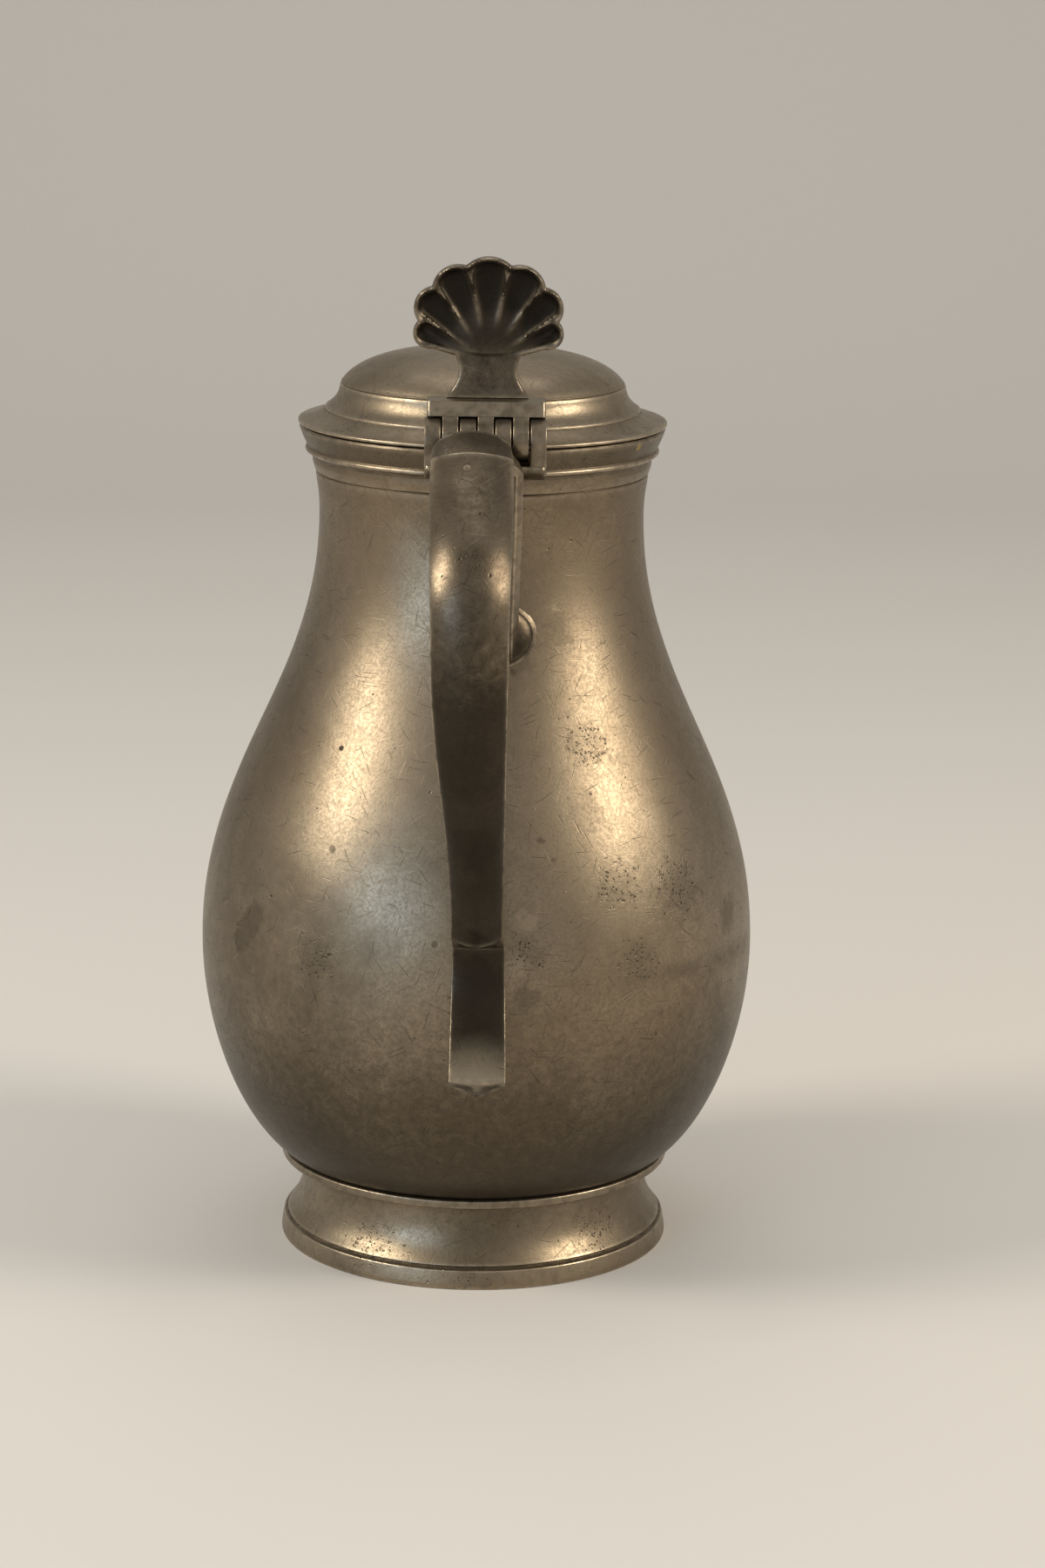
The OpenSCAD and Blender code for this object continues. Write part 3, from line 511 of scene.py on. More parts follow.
def makeFinish(name):
    values, cover, dullness = {**usualFinish, **finishes[name]}, surface["cover"], surface["dullness"]
    metal = bpy.data.materials.new(name)
    metal.use_nodes = True
    tree = metal.node_tree
    shader = tree.nodes["Principled BSDF"]

    def effect(group, **inputs):
        named = {spaced(title): value for title, value in inputs.items()}
        return put(tree, "ShaderNodeGroup", named, node_tree=group).outputs

    light, deep, warm = ((*values[tone], 1) for tone in ("light", "deep", "warm"))
    dark = tuple(c*surface["darkShare"] for c in values["deep"])
    tone = effect(patinaTone, lightTone=light, deepTone=deep, warmTone=warm, cloudScale=values["cloud"],
                  speckScale=values["speck"], speckShare=values["speckShare"])
    # wear and grime, which also carry the painted highlights and painted shade stored on the pieces
    worn = effect(wearAndPaintedLight, wearShare=values["wear"], grimeShare=values["grime"])
    pit = effect(pits, share=values["pitShare"], **surface["pits"])[0]
    pinholes = effect(pits, **surface["pinholes"])[0]
    scratch = effect(scratches, share=values["scratch"])[0]
    cuts = effect(scratches, share=values["scratch"]*surface["cutsGain"], **surface["cuts"])[0]
    place = put(tree, "ShaderNodeTexCoord").outputs["Object"]
    ragged = noise(place, surface["raggedScale"], 4.0, Roughness=0.7)
    ragged = times(minus(ragged, 0.5), surface["raggedGain"])
    low, high = (values["rough"] + side*values["roughSpan"]/2 for side in (-1, 1))
    rough = spread(tone["Cloud"], 0.0, 1.0, low, high)
    # the masks that cover the tone, from below upwards: mask, share (none is the mask as it is), colour
    layers = [(scratch, cover["scratch"], wornAndLitColour)]
    for clear, full, share in values["shades"]:
        shade = effect(heightShade, clearHeight=clear*mm, fullHeight=full*mm, ragged=ragged, share=share)
        layers.append((shade[0], None, dark))
    spots = marks.get(name, {})
    if "pitted" in spots:
        pitted = spotMask(tree, spots["pitted"], ragged)
        cluster = times(effect(pits, **surface["clusters"])[0], pitted)
        pit = most(pit, least(times(cluster, surface["clusterGain"]), 1.0))
        layers.append((pitted, cover["pitted"], dark))
    # pale spots and stains include painted highlights and painted shade
    for kind, top in (("pale", wornAndLitColour), ("stainsAndShade", dark), ("residue", residueColour)):
        if kind in spots:
            mask = spotMask(tree, spots[kind], ragged)
            layers.append((mask, None, top))
            rough = plus(rough, times(mask, dullness[kind]))
    layers += [(worn["Grime"], cover["grime"], dark), (cuts, cover["cuts"], dark), (pit, cover["pits"], dark),
               (pinholes, cover["pinholes"], dark), (worn["Wear"], cover["wear"], wornAndLitColour)]
    colour = tone["Color"]
    for mask, share, top in layers:
        colour = blend(times(mask, share) if share else mask, colour, (*top, 1))
    rough = minus(plus(rough, times(worn["Grime"], dullness["grime"])), times(worn["Wear"], dullness["wear"]))
    rough = plus(rough, times(tone["Speck"], dullness["speck"]))
    lines = effect(turningLines)[0]
    height = plus(times(tone["Speck"], values["grain"]), times(lines, values["turning"]))
    height = minus(height, times(most(scratch, cuts), surface["cutDepth"]))
    height = minus(height, times(pit, surface["pitDepth"]))
    bump = put(tree, "ShaderNodeBump", {
        "Strength": surface["bump"], "Distance": surface["bumpDistance"], "Height": height}).outputs[0]
    for title, value in (("Normal", bump), ("Base Color", colour), ("Roughness", rough)):
        tree.links.new(value, shader.inputs[title])
    shader.inputs["Metallic"].default_value = surface["metallic"]
    return metal


material = {name: makeFinish(name) for name in finishes}
print("finishes ready:", len(material))


# Geometry Nodes: a profile turned on a lathe, and a row of knuckles

def newShapeTree(name, sizes):
    sockets = [("Geometry", "NodeSocketGeometry", None), *sizes, ("Finish", "NodeSocketMaterial", None)]
    tree, gin, gout = newTree(name, "GeometryNodeTree", sockets, [("Geometry", "NodeSocketGeometry")])
    outline = put(tree, "GeometryNodeMeshToCurve", {"Mesh": gin.outputs["Geometry"]}).outputs[0]

    def done(shape):
        real = put(tree, "GeometryNodeRealizeInstances", {0: shape}).outputs[0]
        made = put(tree, "GeometryNodeSetMaterial", {0: real, "Material": gin.outputs["Finish"]}).outputs[0]
        tree.links.new(made, gout.inputs[0])
        return tree

    return tree, gin.outputs, outline, done


def buildLathe():
    tree, given, profile, done = newShapeTree("Turned On Lathe", [
        ("Segments", "NodeSocketInt", 192), ("Swing Radius", "NodeSocketFloat", 0.02),
        ("Dent Depth", "NodeSocketFloat", 0.0002), ("Dent Scale", "NodeSocketFloat", 30.0),
        ("Seed", "NodeSocketFloat", 0.0)])
    ring = put(tree, "GeometryNodeCurvePrimitiveCircle", {
        "Resolution": given["Segments"], "Radius": given["Swing Radius"]}).outputs[0]
    swept = put(tree, "GeometryNodeCurveToMesh", {"Curve": ring, "Profile Curve": profile}).outputs[0]
    place = put(tree, "GeometryNodeInputPosition").outputs[0]
    dent = put(tree, "ShaderNodeTexNoise", {
        "Vector": place, "W": given["Seed"], "Scale": given["Dent Scale"], "Detail": 1.5},
        noise_dimensions="4D").outputs["Fac"]
    outward = vector("NORMALIZE", vector("MULTIPLY", place, (1, 1, 0)))
    shift = vector("SCALE", outward, share=times(minus(dent, 0.5), given["Dent Depth"]))
    return done(put(tree, "GeometryNodeSetPosition", {"Geometry": swept, "Offset": shift}).outputs[0])


def buildKnuckleRow():
    tree, given, outline, done = newShapeTree("Knuckle Row", [
        ("Count", "NodeSocketInt", 4), ("Width", "NodeSocketFloat", 0.004),
        ("Pitch", "NodeSocketFloat", 0.009), ("First Place", "NodeSocketVector", (0, 0, 0))])
    end, step = (put(tree, "ShaderNodeCombineXYZ", {0: given[way]}).outputs[0] for way in ("Width", "Pitch"))
    across = put(tree, "GeometryNodeCurvePrimitiveLine", {"End": end}).outputs[0]
    knuckle = put(tree, "GeometryNodeCurveToMesh", {
        "Curve": across, "Profile Curve": outline, "Fill Caps": True})
    row = put(tree, "GeometryNodeMeshLine", {
        "Count": given["Count"], "Start Location": given["First Place"], "Offset": step}).outputs[0]
    placed = put(tree, "GeometryNodeInstanceOnPoints", {"Points": row, "Instance": knuckle.outputs[0]})
    return done(placed.outputs[0])


lathe, knuckleRow = buildLathe(), buildKnuckleRow()


def knockAt(p, bruise):
    # the share of a long shallow knock that follows the round of the wall
    turn = np.degrees(np.arctan2(p[:, 1], p[:, 0]))
    start, end = bruise["start"], bruise["end"]
    share = smooth(start, start + 12, turn)*smooth(end, end - 8, turn)
    return share*np.exp(-((p[:, 2] - bruise["height"])/bruise["spread"])**2)


def turned(name, profile, body, node, finish, dent, seed, bruise=None):
    # the profile is a closed line of (radius, height); Curve to Mesh swings it with its Y axis downwards
    swing = 20.0
    piece = runTree(name, lathe, [(r - swing, -z, 0) for r, z in profile], {
        "Segments": 288, "Swing Radius": swing*mm, "Dent Depth": dent*mm, "Dent Scale": 26.0, "Seed": seed,
        "Finish": material[finish]})
    if bruise:
        places = placesOf(piece.data)
        outward = places*(1, 1, 0)/np.hypot(places[:, 0], places[:, 1])[:, None]
        places -= outward*(bruise["depth"]*mm*knockAt(places/mm, bruise))[:, None]
        piece.data.vertices.foreach_set("co", places.ravel())
    finishPiece(piece, body, [node], finish, 38)
    if bruise:
        # painted shade along the knock, laid into the hollow value
        reworkWear(piece, "hollow", lambda p, v: np.maximum(v, bruise["grime"]*knockAt(p, bruise)))
    for title in ("wear", "hollow"):
        reworkWear(piece, title, atSeam)


def atSeam(p, v):
    # the soldered seam is cleaned off and faint
    reach, share = 3.2, 0.15
    return v*np.where(abs(p[:, 2] - belly["seamHeight"]) < reach, share, 1)


foot = {"radius": 56.0, "height": 26.2, "wall": 2.6, "waist": 49.4, "flange": 55.9, "ledge": 43.7}


def makeFoot():
    f = foot
    outside = [(f["radius"], 0, 0.5), (55.9, 1.4, 1.5), (55.25, 5.3, 0.6), (54.4, 5.55, 0.12),
               (53.75, 5.95, 0.15), (54.15, 6.4, 0.15)]
    cove = bezier((54.0, 6.7), (51.2, 9.8), (f["waist"], 14.5), (f["waist"], 21.2), 18)
    lip = [(49.9, 22.4, 0.8), (53.4, 23.5, 1.2), (f["flange"], 23.9, 0.5), (f["flange"], 25.9, 0.5),
           (55.2, f["height"], 0.3)]
    inside = [(f["ledge"], f["height"], 0.3), (f["ledge"], 24.4, 0.6), (46.8, 21.5, 1.5), (46.8, 14.2, 3.0),
              (51.8, 4.8, 2.0), (f["radius"] - f["wall"], 0, 0.4)]
    profile = rounded(outside + plain(cove) + lip + inside)
    turned("footTurning", profile, "flagon", "foot", "footPewter", 0.25, 3.0)


belly = {
    "baseRadius": 54.6, "baseHeight": 26.2, "radius": 78.8, "height": 88.0, "neckRadius": 45.6,
    "neckHeight": 212.0, "wall": 2.6, "seamHeight": 100.0, "seamLap": 3.0, "lapGap": 0.1, "floorRadius": 46.8,
    "lowShares": (0.6, 0.155, 0.39), "highShares": (0.42, 0.41), "dent": 0.30, "dentSeed": 7.0,
    "bruise": {   # start and end are degrees round the axis
        "height": 92.6, "spread": 2.5, "depth": 0.55, "start": -58, "end": -8, "grime": 0.55},
}
mouth = {
    "height": 236.2, "radius": 51.2, "wall": 2.8, "beadRadius": 49.6, "beadHeight": 229.4, "beadSize": 1.5,
    "lineHeight": 223.3, "lineRadius": 46.64, "lineDepth": 0.4, "collarRadius": 47.6, "bandFoot": 49.0,
}


def bellyLine():
    b = belly
    base, widest, neck = ((b[r], b[z]) for r, z in (
        ("baseRadius", "baseHeight"), ("radius", "height"), ("neckRadius", "neckHeight")))
    (out, up, fall), (rise, under) = b["lowShares"], b["highShares"]
    low = bezier(base, (mix(base[0], widest[0], out), mix(base[1], widest[1], up)),
                 (widest[0], mix(widest[1], base[1], fall)), widest, 48)
    high = bezier(widest, (widest[0], mix(widest[1], neck[1], rise)),
                  (neck[0], mix(neck[1], widest[1], under)), neck, 72)
    return low + high[1:]


bellyOut = bellyLine()
bellyIn = offsetLine(bellyOut, belly["wall"])


def radiusAt(z, points):
    line = np.array(points)
    return float(np.interp(z, line[:, 1], line[:, 0]))


def outAt(z):
    return radiusAt(z, bellyOut)


def inAt(z):
    return radiusAt(z, bellyIn)


def makeBody():
    b, m = belly, mouth
    seam, lapTop = b["seamHeight"], b["seamHeight"] + b["seamLap"]
    lapRadius, bareNeck, floorTop = outAt(seam) - b["wall"]/2, b["neckRadius"] - b["wall"], 28.8
    below = [p for p in bellyOut if p[1] < seam - 0.1] + [(outAt(seam), seam)]
    inBelow = [p for p in reversed(bellyIn) if 30 < p[1] < lapTop - 0.1]
    lap = [(lapRadius, seam, 0), (lapRadius, lapTop, 0.2), (inAt(lapTop), lapTop, 0.2)]
    bottom = [(b["baseRadius"] - b["wall"], floorTop, 1.0), (b["floorRadius"], floorTop, 0),
              (b["floorRadius"], b["baseHeight"], 0)]
    lower = rounded(plain(below) + lap + plain(inBelow) + bottom)
    turned("bellyTurning", lower, "flagon", "lower_body", "bodyPewter", b["dent"],
           b["dentSeed"], b["bruise"])
    above = [(outAt(seam), seam)] + [p for p in bellyOut if p[1] > seam + 0.1]
    neck = bezier((b["neckRadius"], b["neckHeight"]), (b["neckRadius"], 217.6), (m["lineRadius"], 221.0),
                  (m["lineRadius"], m["lineHeight"] - m["lineDepth"]), 8)[1:]
    groove = [(m["lineRadius"] - m["lineDepth"], m["lineHeight"], 0.15),
              (m["lineRadius"] + 0.25, m["lineHeight"] + m["lineDepth"], 0.3)]
    collar = [(m["collarRadius"] - 0.1, 225.8, 1.5), (m["collarRadius"], 227.6, 0.8),
              (m["collarRadius"] + 0.5, 228.5, 0.4)]
    half = m["beadSize"]/2
    bead = [(m["beadRadius"] - half + out, m["beadHeight"] + up)
            for out, up in (polar(half, a) for a in range(-80, 61, 20))]
    rise = m["height"] - m["beadHeight"]
    band = bezier((m["bandFoot"], m["beadHeight"] + half*1.3),
                  (mix(m["bandFoot"], m["radius"], 0.35), m["beadHeight"] + rise*0.35),
                  (mix(m["bandFoot"], m["radius"], 0.8), m["beadHeight"] + rise*0.7),
                  (m["radius"], m["height"] - 0.65), 8)
    throatIn = m["radius"] - m["wall"]
    edge = [(m["radius"] - 0.45, m["height"], 0.25), (throatIn, m["height"], 0.5)]
    throat = bezier((throatIn - 1.0, m["beadHeight"]), (throatIn - 1.0, 228.0), (bareNeck, 222.4),
                    (bareNeck, b["neckHeight"]), 12)
    inAbove = [p for p in reversed(bellyIn[:-1]) if p[1] > lapTop + 0.2]
    rest = lapTop + 0.1
    cup = [(inAt(rest), rest), (lapRadius + b["lapGap"], rest), (lapRadius + b["lapGap"], seam)]
    upper = rounded(plain(above + neck) + groove + collar + plain(bead + band) + edge
                    + plain(throat + inAbove + cup))
    turned("neckTurning", upper, "flagon", "upper_body", "bodyPewter", b["dent"], b["dentSeed"])


lid = {
    "under": 236.5, "radius": 51.6, "stepRadius": 44.2, "stepHeight": 240.9, "domeRadius": 39.5,
    "domeHeight": 248.1, "top": 257.7, "wall": 2.2, "hollowRadius": 43.6, "pole": 0.02,
}
lidRiser = bezier((lid["stepRadius"] - 0.3, lid["stepHeight"] + 0.3), (41.6, 242.6), (40.2, 244.5),
                  (39.95, 247.2), 14)
lidDome = bezier((lid["domeRadius"] + 0.05, lid["domeHeight"]), (35.4, 254.1), (23.7, lid["top"]),
                 (0.0, lid["top"]), 40)[:-1]
lidSkin = [(51.2, lid["under"]), (lid["radius"], 237.2), (49.6, 237.7), (46.8, 238.9)]
lidSkin += [(lid["stepRadius"], 240.4), *lidRiser, *lidDome]


def makeLid():
    d = lid
    edge = [(d["hollowRadius"], d["under"], 0.3), (50.8, d["under"], 0.2),
            (d["radius"], d["under"] + 0.4, 0.25), (51.65, 237.35, 0.3)]
    brim = bezier((51.5, 237.55), (49.75, 237.75), (46.9, 238.7), (d["stepRadius"] + 0.15, 240.35), 12)
    step = [(d["stepRadius"] - 0.05, 240.45, 0.12), (d["stepRadius"] - 0.1, d["stepHeight"], 0.2)]
    line = [(39.75, 247.55, 0.1), (39.35, 247.75, 0.1), (39.65, d["domeHeight"] - 0.05, 0.1)]
    skin = rounded(edge + plain(brim) + step + plain(lidRiser) + line + plain(lidDome))
    inTop = d["top"] - d["wall"]
    ceiling = bezier((0.0, inTop), (23.7, inTop), (33.0, 251.9), (37.3, 247.0), 24)[1:]
    roof = rounded(plain(ceiling) + [(38.4, d["stepHeight"], 1.5), (d["hollowRadius"], 238.7, 0.8)])
    # the dome closes on the axis, with a pole above and one below
    profile = [(max(r, d["pole"]), z) for r, z in skin + [(0, d["top"]), (0, inTop)] + roof]
    turned("lidTurning", profile, "lid", "lid", "lidPewter", 0.22, 11.0)


hinge = {
    "reach": 59.4, "height": 240.6, "set": 0.8, "width": 32.4, "knuckles": 7, "gap": 0.45, "radius": 5.9,
    "leafTop": 250.75, "leafUnder": 246.95, "leafFront": 60.0, "leafBack": 50.0, "leafShort": (0.6, 0.3),
    "shelfFront": 65.3, "shelfTop": 234.25, "shelfUnder": 230.25, "edge": 0.3,
}
hinge["knuckleWidth"] = (hinge["width"] - (hinge["knuckles"] - 1)*hinge["gap"])/hinge["knuckles"]


def knuckles(name, outline, first, count, body):
    h = hinge
    step = h["knuckleWidth"] + h["gap"]
    start = Vector((h["set"] - h["width"]/2 + first*step, -h["reach"], h["height"]))*mm
    piece = runTree(name, knuckleRow, [(x, -z, 0) for x, z in outline], {
        "Count": count, "Width": h["knuckleWidth"]*mm, "Pitch": 2*step*mm, "First Place": start,
        "Finish": material["hingePewter"]})
    bevelEdges(piece, h["edge"], 50)
    finishPiece(piece, body, [], "hingePewter", 50)


def seatedBlock(name, outline, seat, body, node, short, roundEnds, edge):
    # an outline of (reach, height, rests) drawn over the hinge's width; resting points follow the round skin,
    # and the front corners are rounded off towards both ends
    h = hinge
    low, high = -h["width"]/2 + short[0], h["width"]/2 - short[1]
    ends = [roundEnds - polar(roundEnds, a)[0] for a in range(0, 91, 18)]
    middle = np.linspace(low + roundEnds + 1.5, high - roundEnds - 1.5, 16)
    xs = [low + e for e in ends] + list(middle) + [high - e for e in reversed(ends)]
    front = max(reach for reach, _, _ in outline)
    verts = []
    for x in xs:
        e = min(x - low, high - x, roundEnds)
        pull = roundEnds - math.sqrt(max(roundEnds**2 - (roundEnds - e)**2, 0))
        for reach, z, rests in outline:
            drawn = reach - pull*(reach > front - 6)
            skin = math.sqrt(max(seat(z)**2 - (x + h["set"])**2, 1))
            verts.append((x + h["set"], -(skin if rests else drawn), z))
    sides = tubeFaces(len(xs), len(outline))[:-2]
    caps = [tuple(range(len(outline))), tuple(range(len(verts) - 1, len(verts) - len(outline) - 1, -1))]
    piece = newPiece(name, verts, sides + caps)
    bevelEdges(piece, edge, 40)
    finishPiece(piece, body, [node], "hingePewter", 45)


def makeHinge():
    h = hinge
    r, front, top, under = h["radius"], h["shelfFront"], h["shelfTop"], h["shelfUnder"]
    barrel = [polar(r, a) for a in range(-18, 221, 7)]
    knuckles("bodyKnuckles", barrel + [(-4.4, -7.2), (polar(r, 18)[0], -7.2)], 0, 4, "flagon")
    barrel = [polar(r, a) for a in range(52, -223, -7)]
    knuckles("lidKnuckles", barrel + [(-4.1, 7.6), (1.2, 7.6), (1.72, 6.3)], 1, 3, "lid")
    shelf = [(front, top, 0), (front + 0.3, top - 0.8, 0), (front - 0.8, top - 2.4, 0),
             (front - 4.1, under, 0), (52.0, under, 0), (47.5, under, 1), (48.0, mix(under, top, 0.5), 1),
             (48.0, top, 1)]
    seatedBlock("hingeShelf", shelf, lambda z: mix(48.2, 48.8, (z - under)/(top - under)), "flagon",
                "hinge_lug", (0, 0), 1.5, 0.45)
    leaf = [(h["leafFront"] + 1.2, h["leafUnder"], 0), (h["leafFront"] - 0.3, h["leafTop"], 0),
            (h["leafBack"], h["leafTop"], 0), (43.0, 247.5, 0), (41.0, 246.3, 1), (41.5, 243.5, 1),
            (44.0, 240.7, 1), (46.0, 239.0, 1), (49.5, 237.9, 1), (50.5, 238.6, 0), (50.5, 241.2, 0),
            (55.3, h["leafUnder"], 0)]
    seatedBlock("hingeLeaf", leaf, lambda z: radiusAt(z, lidSkin) - 0.5, "lid",
                "lid_hinge_leaf", h["leafShort"], 1.0, 0.5)


pad = {"height": 185.6, "halfWidth": 14.8, "halfHeight": 9.7, "rise": 3.4, "rim": 0.7, "spokes": 72}

handle = {
    "topWidth": 22.0, "midWidth": 20.3, "lowWidth": 13.6, "thick": 7.2, "set": 2.7, "reach": 116.0,
    "height": 196.0, "crease": (80.0, 240.2), "tongueTip": (70.7, 244.7), "tongueShare": 0.97,
    "breakHeight": 108.0, "tailTip": (98.0, 74.5), "tailWidth": 15.0, "tailThick": 3.6, "tailSet": 0.6,
    "tailBow": 0.9, "keel": 5.0, "edge": 0.35, "ridge": 0.22, "plugRadius": 1.0, "plugSide": 1.2,
    "plugDepth": 3.0,
}


def strapRing(inner, outer, width, side, flank, crown, keel=0, ridge=0, bow=0):
    # one section of the strap: flat inside, straight flanks, a crowned back and worn corners
    thick, half, edge = math.dist(inner, outer), width/2, handle["edge"]
    power, root = crown
    inside = [(-0.84*half, 0, 0.8), (0.0, -keel, 1.5), (0.84*half, 0, 0.8), (half, flank*0.4*thick, 1.2)]
    back = []
    for u in np.cos(np.radians(np.arange(14, 167, 8))):
        crownShare = flank + (1 - flank)*(1 - abs(u)**power)**root
        back.append((half*u, crownShare*thick - ridge*min(abs(u)*2.2, 1), 0))
    corners = [(half, flank*thick, edge), *back, (-half, flank*thick, edge), (-half, flank*0.4*thick, 1.2)]
    way = np.subtract(outer, inner)/thick
    ring = []
    for u, v in rounded(inside + corners, 4):
        low = bow*(1 - (u/half)**2)   # a bowed end reaches further down in the middle
        ring.append((side + u, -(inner[0] + way[0]*v + way[1]*low), inner[1] + way[1]*v - way[0]*low))
    return ring


def along(a, b, low, high):
    return lambda z: mix(a, b, float(smooth(low, high, z)))


def between(a, b, share):
    return tuple(mix(np.array(a), np.array(b), share))


def handleLines():
    # the back of the leg, the grip and the tail, and the inside of the leg
    h = handle
    crease, tip, tailThick, breakHeight = h["crease"], h["tailTip"], h["tailThick"], h["breakHeight"]
    wall, full = outAt(breakHeight), (h["reach"], h["height"])
    last = (wall + h["thick"] + tailThick/2, breakHeight)
    # close rings keep the crease and the break crisp
    high = bezier(crease, (mix(crease[0], full[0], 0.45), mix(crease[1], full[1], 0.33)),
                  (full[0], mix(full[1], crease[1], 0.6)), full, [0, 0.005, 0.02, *np.linspace(0.05, 1, 28)])
    low = bezier(full, (full[0], mix(full[1], last[1], 0.42)),
                 (mix(last[0], full[0], 0.45), mix(last[1], full[1], 0.3)), last,
                 [*np.linspace(0, 0.985, 40), 0.995, 1])
    start = (wall + tailThick, breakHeight - tailThick/2)
    tail = bezier(start, (start[0] - tailThick/2, mix(breakHeight, tip[1], 0.45)),
                  (mix(start[0], tip[0], 0.35), mix(breakHeight, tip[1], 0.65)), tip,
                  [0, 0.01, *np.linspace(0.04, 1, 28)])
    root, front, under = outAt(pad["height"]), hinge["shelfFront"], hinge["shelfUnder"]
    leg = bezier((46.5, 192.9), (root + 3.4, 195.3), (mix(root, front, 0.7), 207.5), (front - 0.8, under), 24)
    leg += [(front, 233.5), (68.2, 236.9), (70.2, 239.5)]
    legIn = bezier((50.0, 178.3), (root + 6.7, 178.3), (mix(root, front, 0.85), 195.3),
                   (front + 5.7, under), 24)
    legIn += [(71.8, 232.7), (72.6, 233.5), (73.4, 233.9)]
    return leg, legIn, high + low[1:], tail


def makeHandle():
    h = handle
    crease, tongueTip, tip, aside = h["crease"], h["tongueTip"], h["tailTip"], -h["set"]
    leg, legIn, grip, tail = handleLines()
    gripIn, tailIn = offsetLine(grip, -h["thick"]), offsetLine(tail, -h["tailThick"])
    width = along(h["lowWidth"], h["midWidth"], h["breakHeight"], h["height"])
    wider = along(0, h["topWidth"] - h["midWidth"], h["height"], crease[1])
    side = along(0, aside, h["breakHeight"] + h["thick"], h["height"] - h["thick"])
    legWidth = along(h["midWidth"] - 0.8, h["topWidth"] - 0.8, pad["height"], crease[1])
    legSide = along(0.4, aside, hinge["shelfTop"], crease[1])
    tailWidth = along(h["lowWidth"] + 0.5, h["tailWidth"], h["breakHeight"], tip[1])
    keel = along(0, h["keel"], belly["height"], tip[1])
    roundBack, flatBack = (2, 0.5), (2.5, 1)
    rings = [strapRing(i, o, legWidth(o[1]), legSide(o[1]), 0.8, roundBack) for i, o in zip(legIn, leg)]
    legTop, top = (legIn[-1], leg[-1]), (gripIn[0], crease)
    for s in (0.4, 0.75, 0.94, 1.0):   # the face that looks at the hinge
        rings.append(strapRing(between(legTop[0], top[0], s*0.5), between(legTop[1], tongueTip, s),
                               h["topWidth"]*h["tongueShare"], aside, mix(0.8, 0.42, s), roundBack))
    for s in (0.035, 0.12, 0.25, 0.4, 0.55, 0.7, 0.82, 0.9, 0.95, 0.975):   # from the tongue to the crease
        rings.append(strapRing(between(legTop[0], top[0], mix(0.5, 1, s)), between(tongueTip, crease, s),
                               h["topWidth"]*mix(h["tongueShare"], 1, s), aside, mix(0.42, 0.58, s),
                               (mix(2, 1.45, s), mix(0.5, 0.7, s))))
    for i, o in zip(gripIn, grip):
        s = float(smooth(crease[1], crease[1] - 14, o[1]))
        low = float(smooth(h["height"] - 15, h["breakHeight"] + 20, o[1]))
        crown = (mix(1.45, 2.0, s), mix(0.7, mix(0.9, 0.7, low), s))
        rings.append(strapRing(i, o, width(o[1]) + wider(o[1]), side(o[1]), mix(mix(0.58, 0.4, s), 0.5, low),
                               crown, ridge=h["ridge"]*float(smooth(205, 190, o[1]))))
    bows = [0]*(len(tail) - 6) + [0.1, 0.25, 0.45, 0.65, 0.85, 1]
    for i, o, share in zip(tailIn, tail, bows):
        rings.append(strapRing(i, o, tailWidth(o[1]), h["tailSet"], 0.8, flatBack, keel(o[1]),
                               bow=h["tailBow"]*share))
    last, middle = rings[-1], np.mean(rings[-1], axis=0)
    endWay = np.array((0, -0.68, -0.73))   # the end of the tail is slightly domed
    for inset, push in ((0.1, 0.16), (0.3, 0.3)):
        rings.append([tuple(mix(np.array(p), middle, inset) + push*endWay) for p in last])
    piece = newPiece("handleCasting", [p for ring in rings for p in ring], tubeFaces(len(rings), len(last)))
    finishPiece(piece, "flagon", ["handle"], "handlePewter", 32, (0.06, 0.45))
    # a worn line along the crease and the rim of the tongue, partly a painted highlight on their rounded
    # edges
    for inner, outer in (top, (between(legTop[0], top[0], 0.5), tongueTip)):
        way = np.subtract(outer, inner)/math.dist(inner, outer)

        def wornEdgeAndHighlight(p, v):
            off = (-p[:, 1] - outer[0])*way[1] - (p[:, 2] - outer[1])*way[0]
            return np.maximum(v, 0.9*(p[:, 2] > 235.5)*smooth(0.5, 0.15, abs(off)))

        reworkWear(piece, "wear", wornEdgeAndHighlight)

    # a painted highlight along the rounded lower edge of the tail's end, laid into the wear value
    def tipHighlight(p, v):
        bottom = tip[1] - h["tailBow"]*(1 - (2*(p[:, 0] - h["tailSet"])/h["tailWidth"])**2)
        return np.maximum(v, (p[:, 1] < 2 - tip[0])*smooth(0.7, 0.2, abs(p[:, 2] - bottom - 0.3)))

    reworkWear(piece, "wear", tipHighlight)


def spokes(n):
    return [polar(1, 360*k/n) for k in range(n)]


def makePlug():
    # the disc that closes the casting's vent, a little proud of the worn back
    h = handle
    middle = Vector((-h["set"] - h["plugSide"], -84.1, 236.8))
    out, up = Vector((0, -0.637, 0.771)), Vector((0, 0.771, 0.637))
    rings = ((1.0, -h["plugDepth"]), (1.0, 0.0), (0.97, 0.09), (0.8, 0.15), (0.5, 0.19), (0.2, 0.2))
    verts = []
    for share, rise in rings:
        for c, s in spokes(32):
            verts.append(middle + (Vector((c, 0, 0)) + up*s)*share*h["plugRadius"] + out*rise)
    piece = newPiece("ventPlug", verts, tubeFaces(len(rings), 32))
    finishPiece(piece, "flagon", ["handle_plug"], "lidPewter", 50)


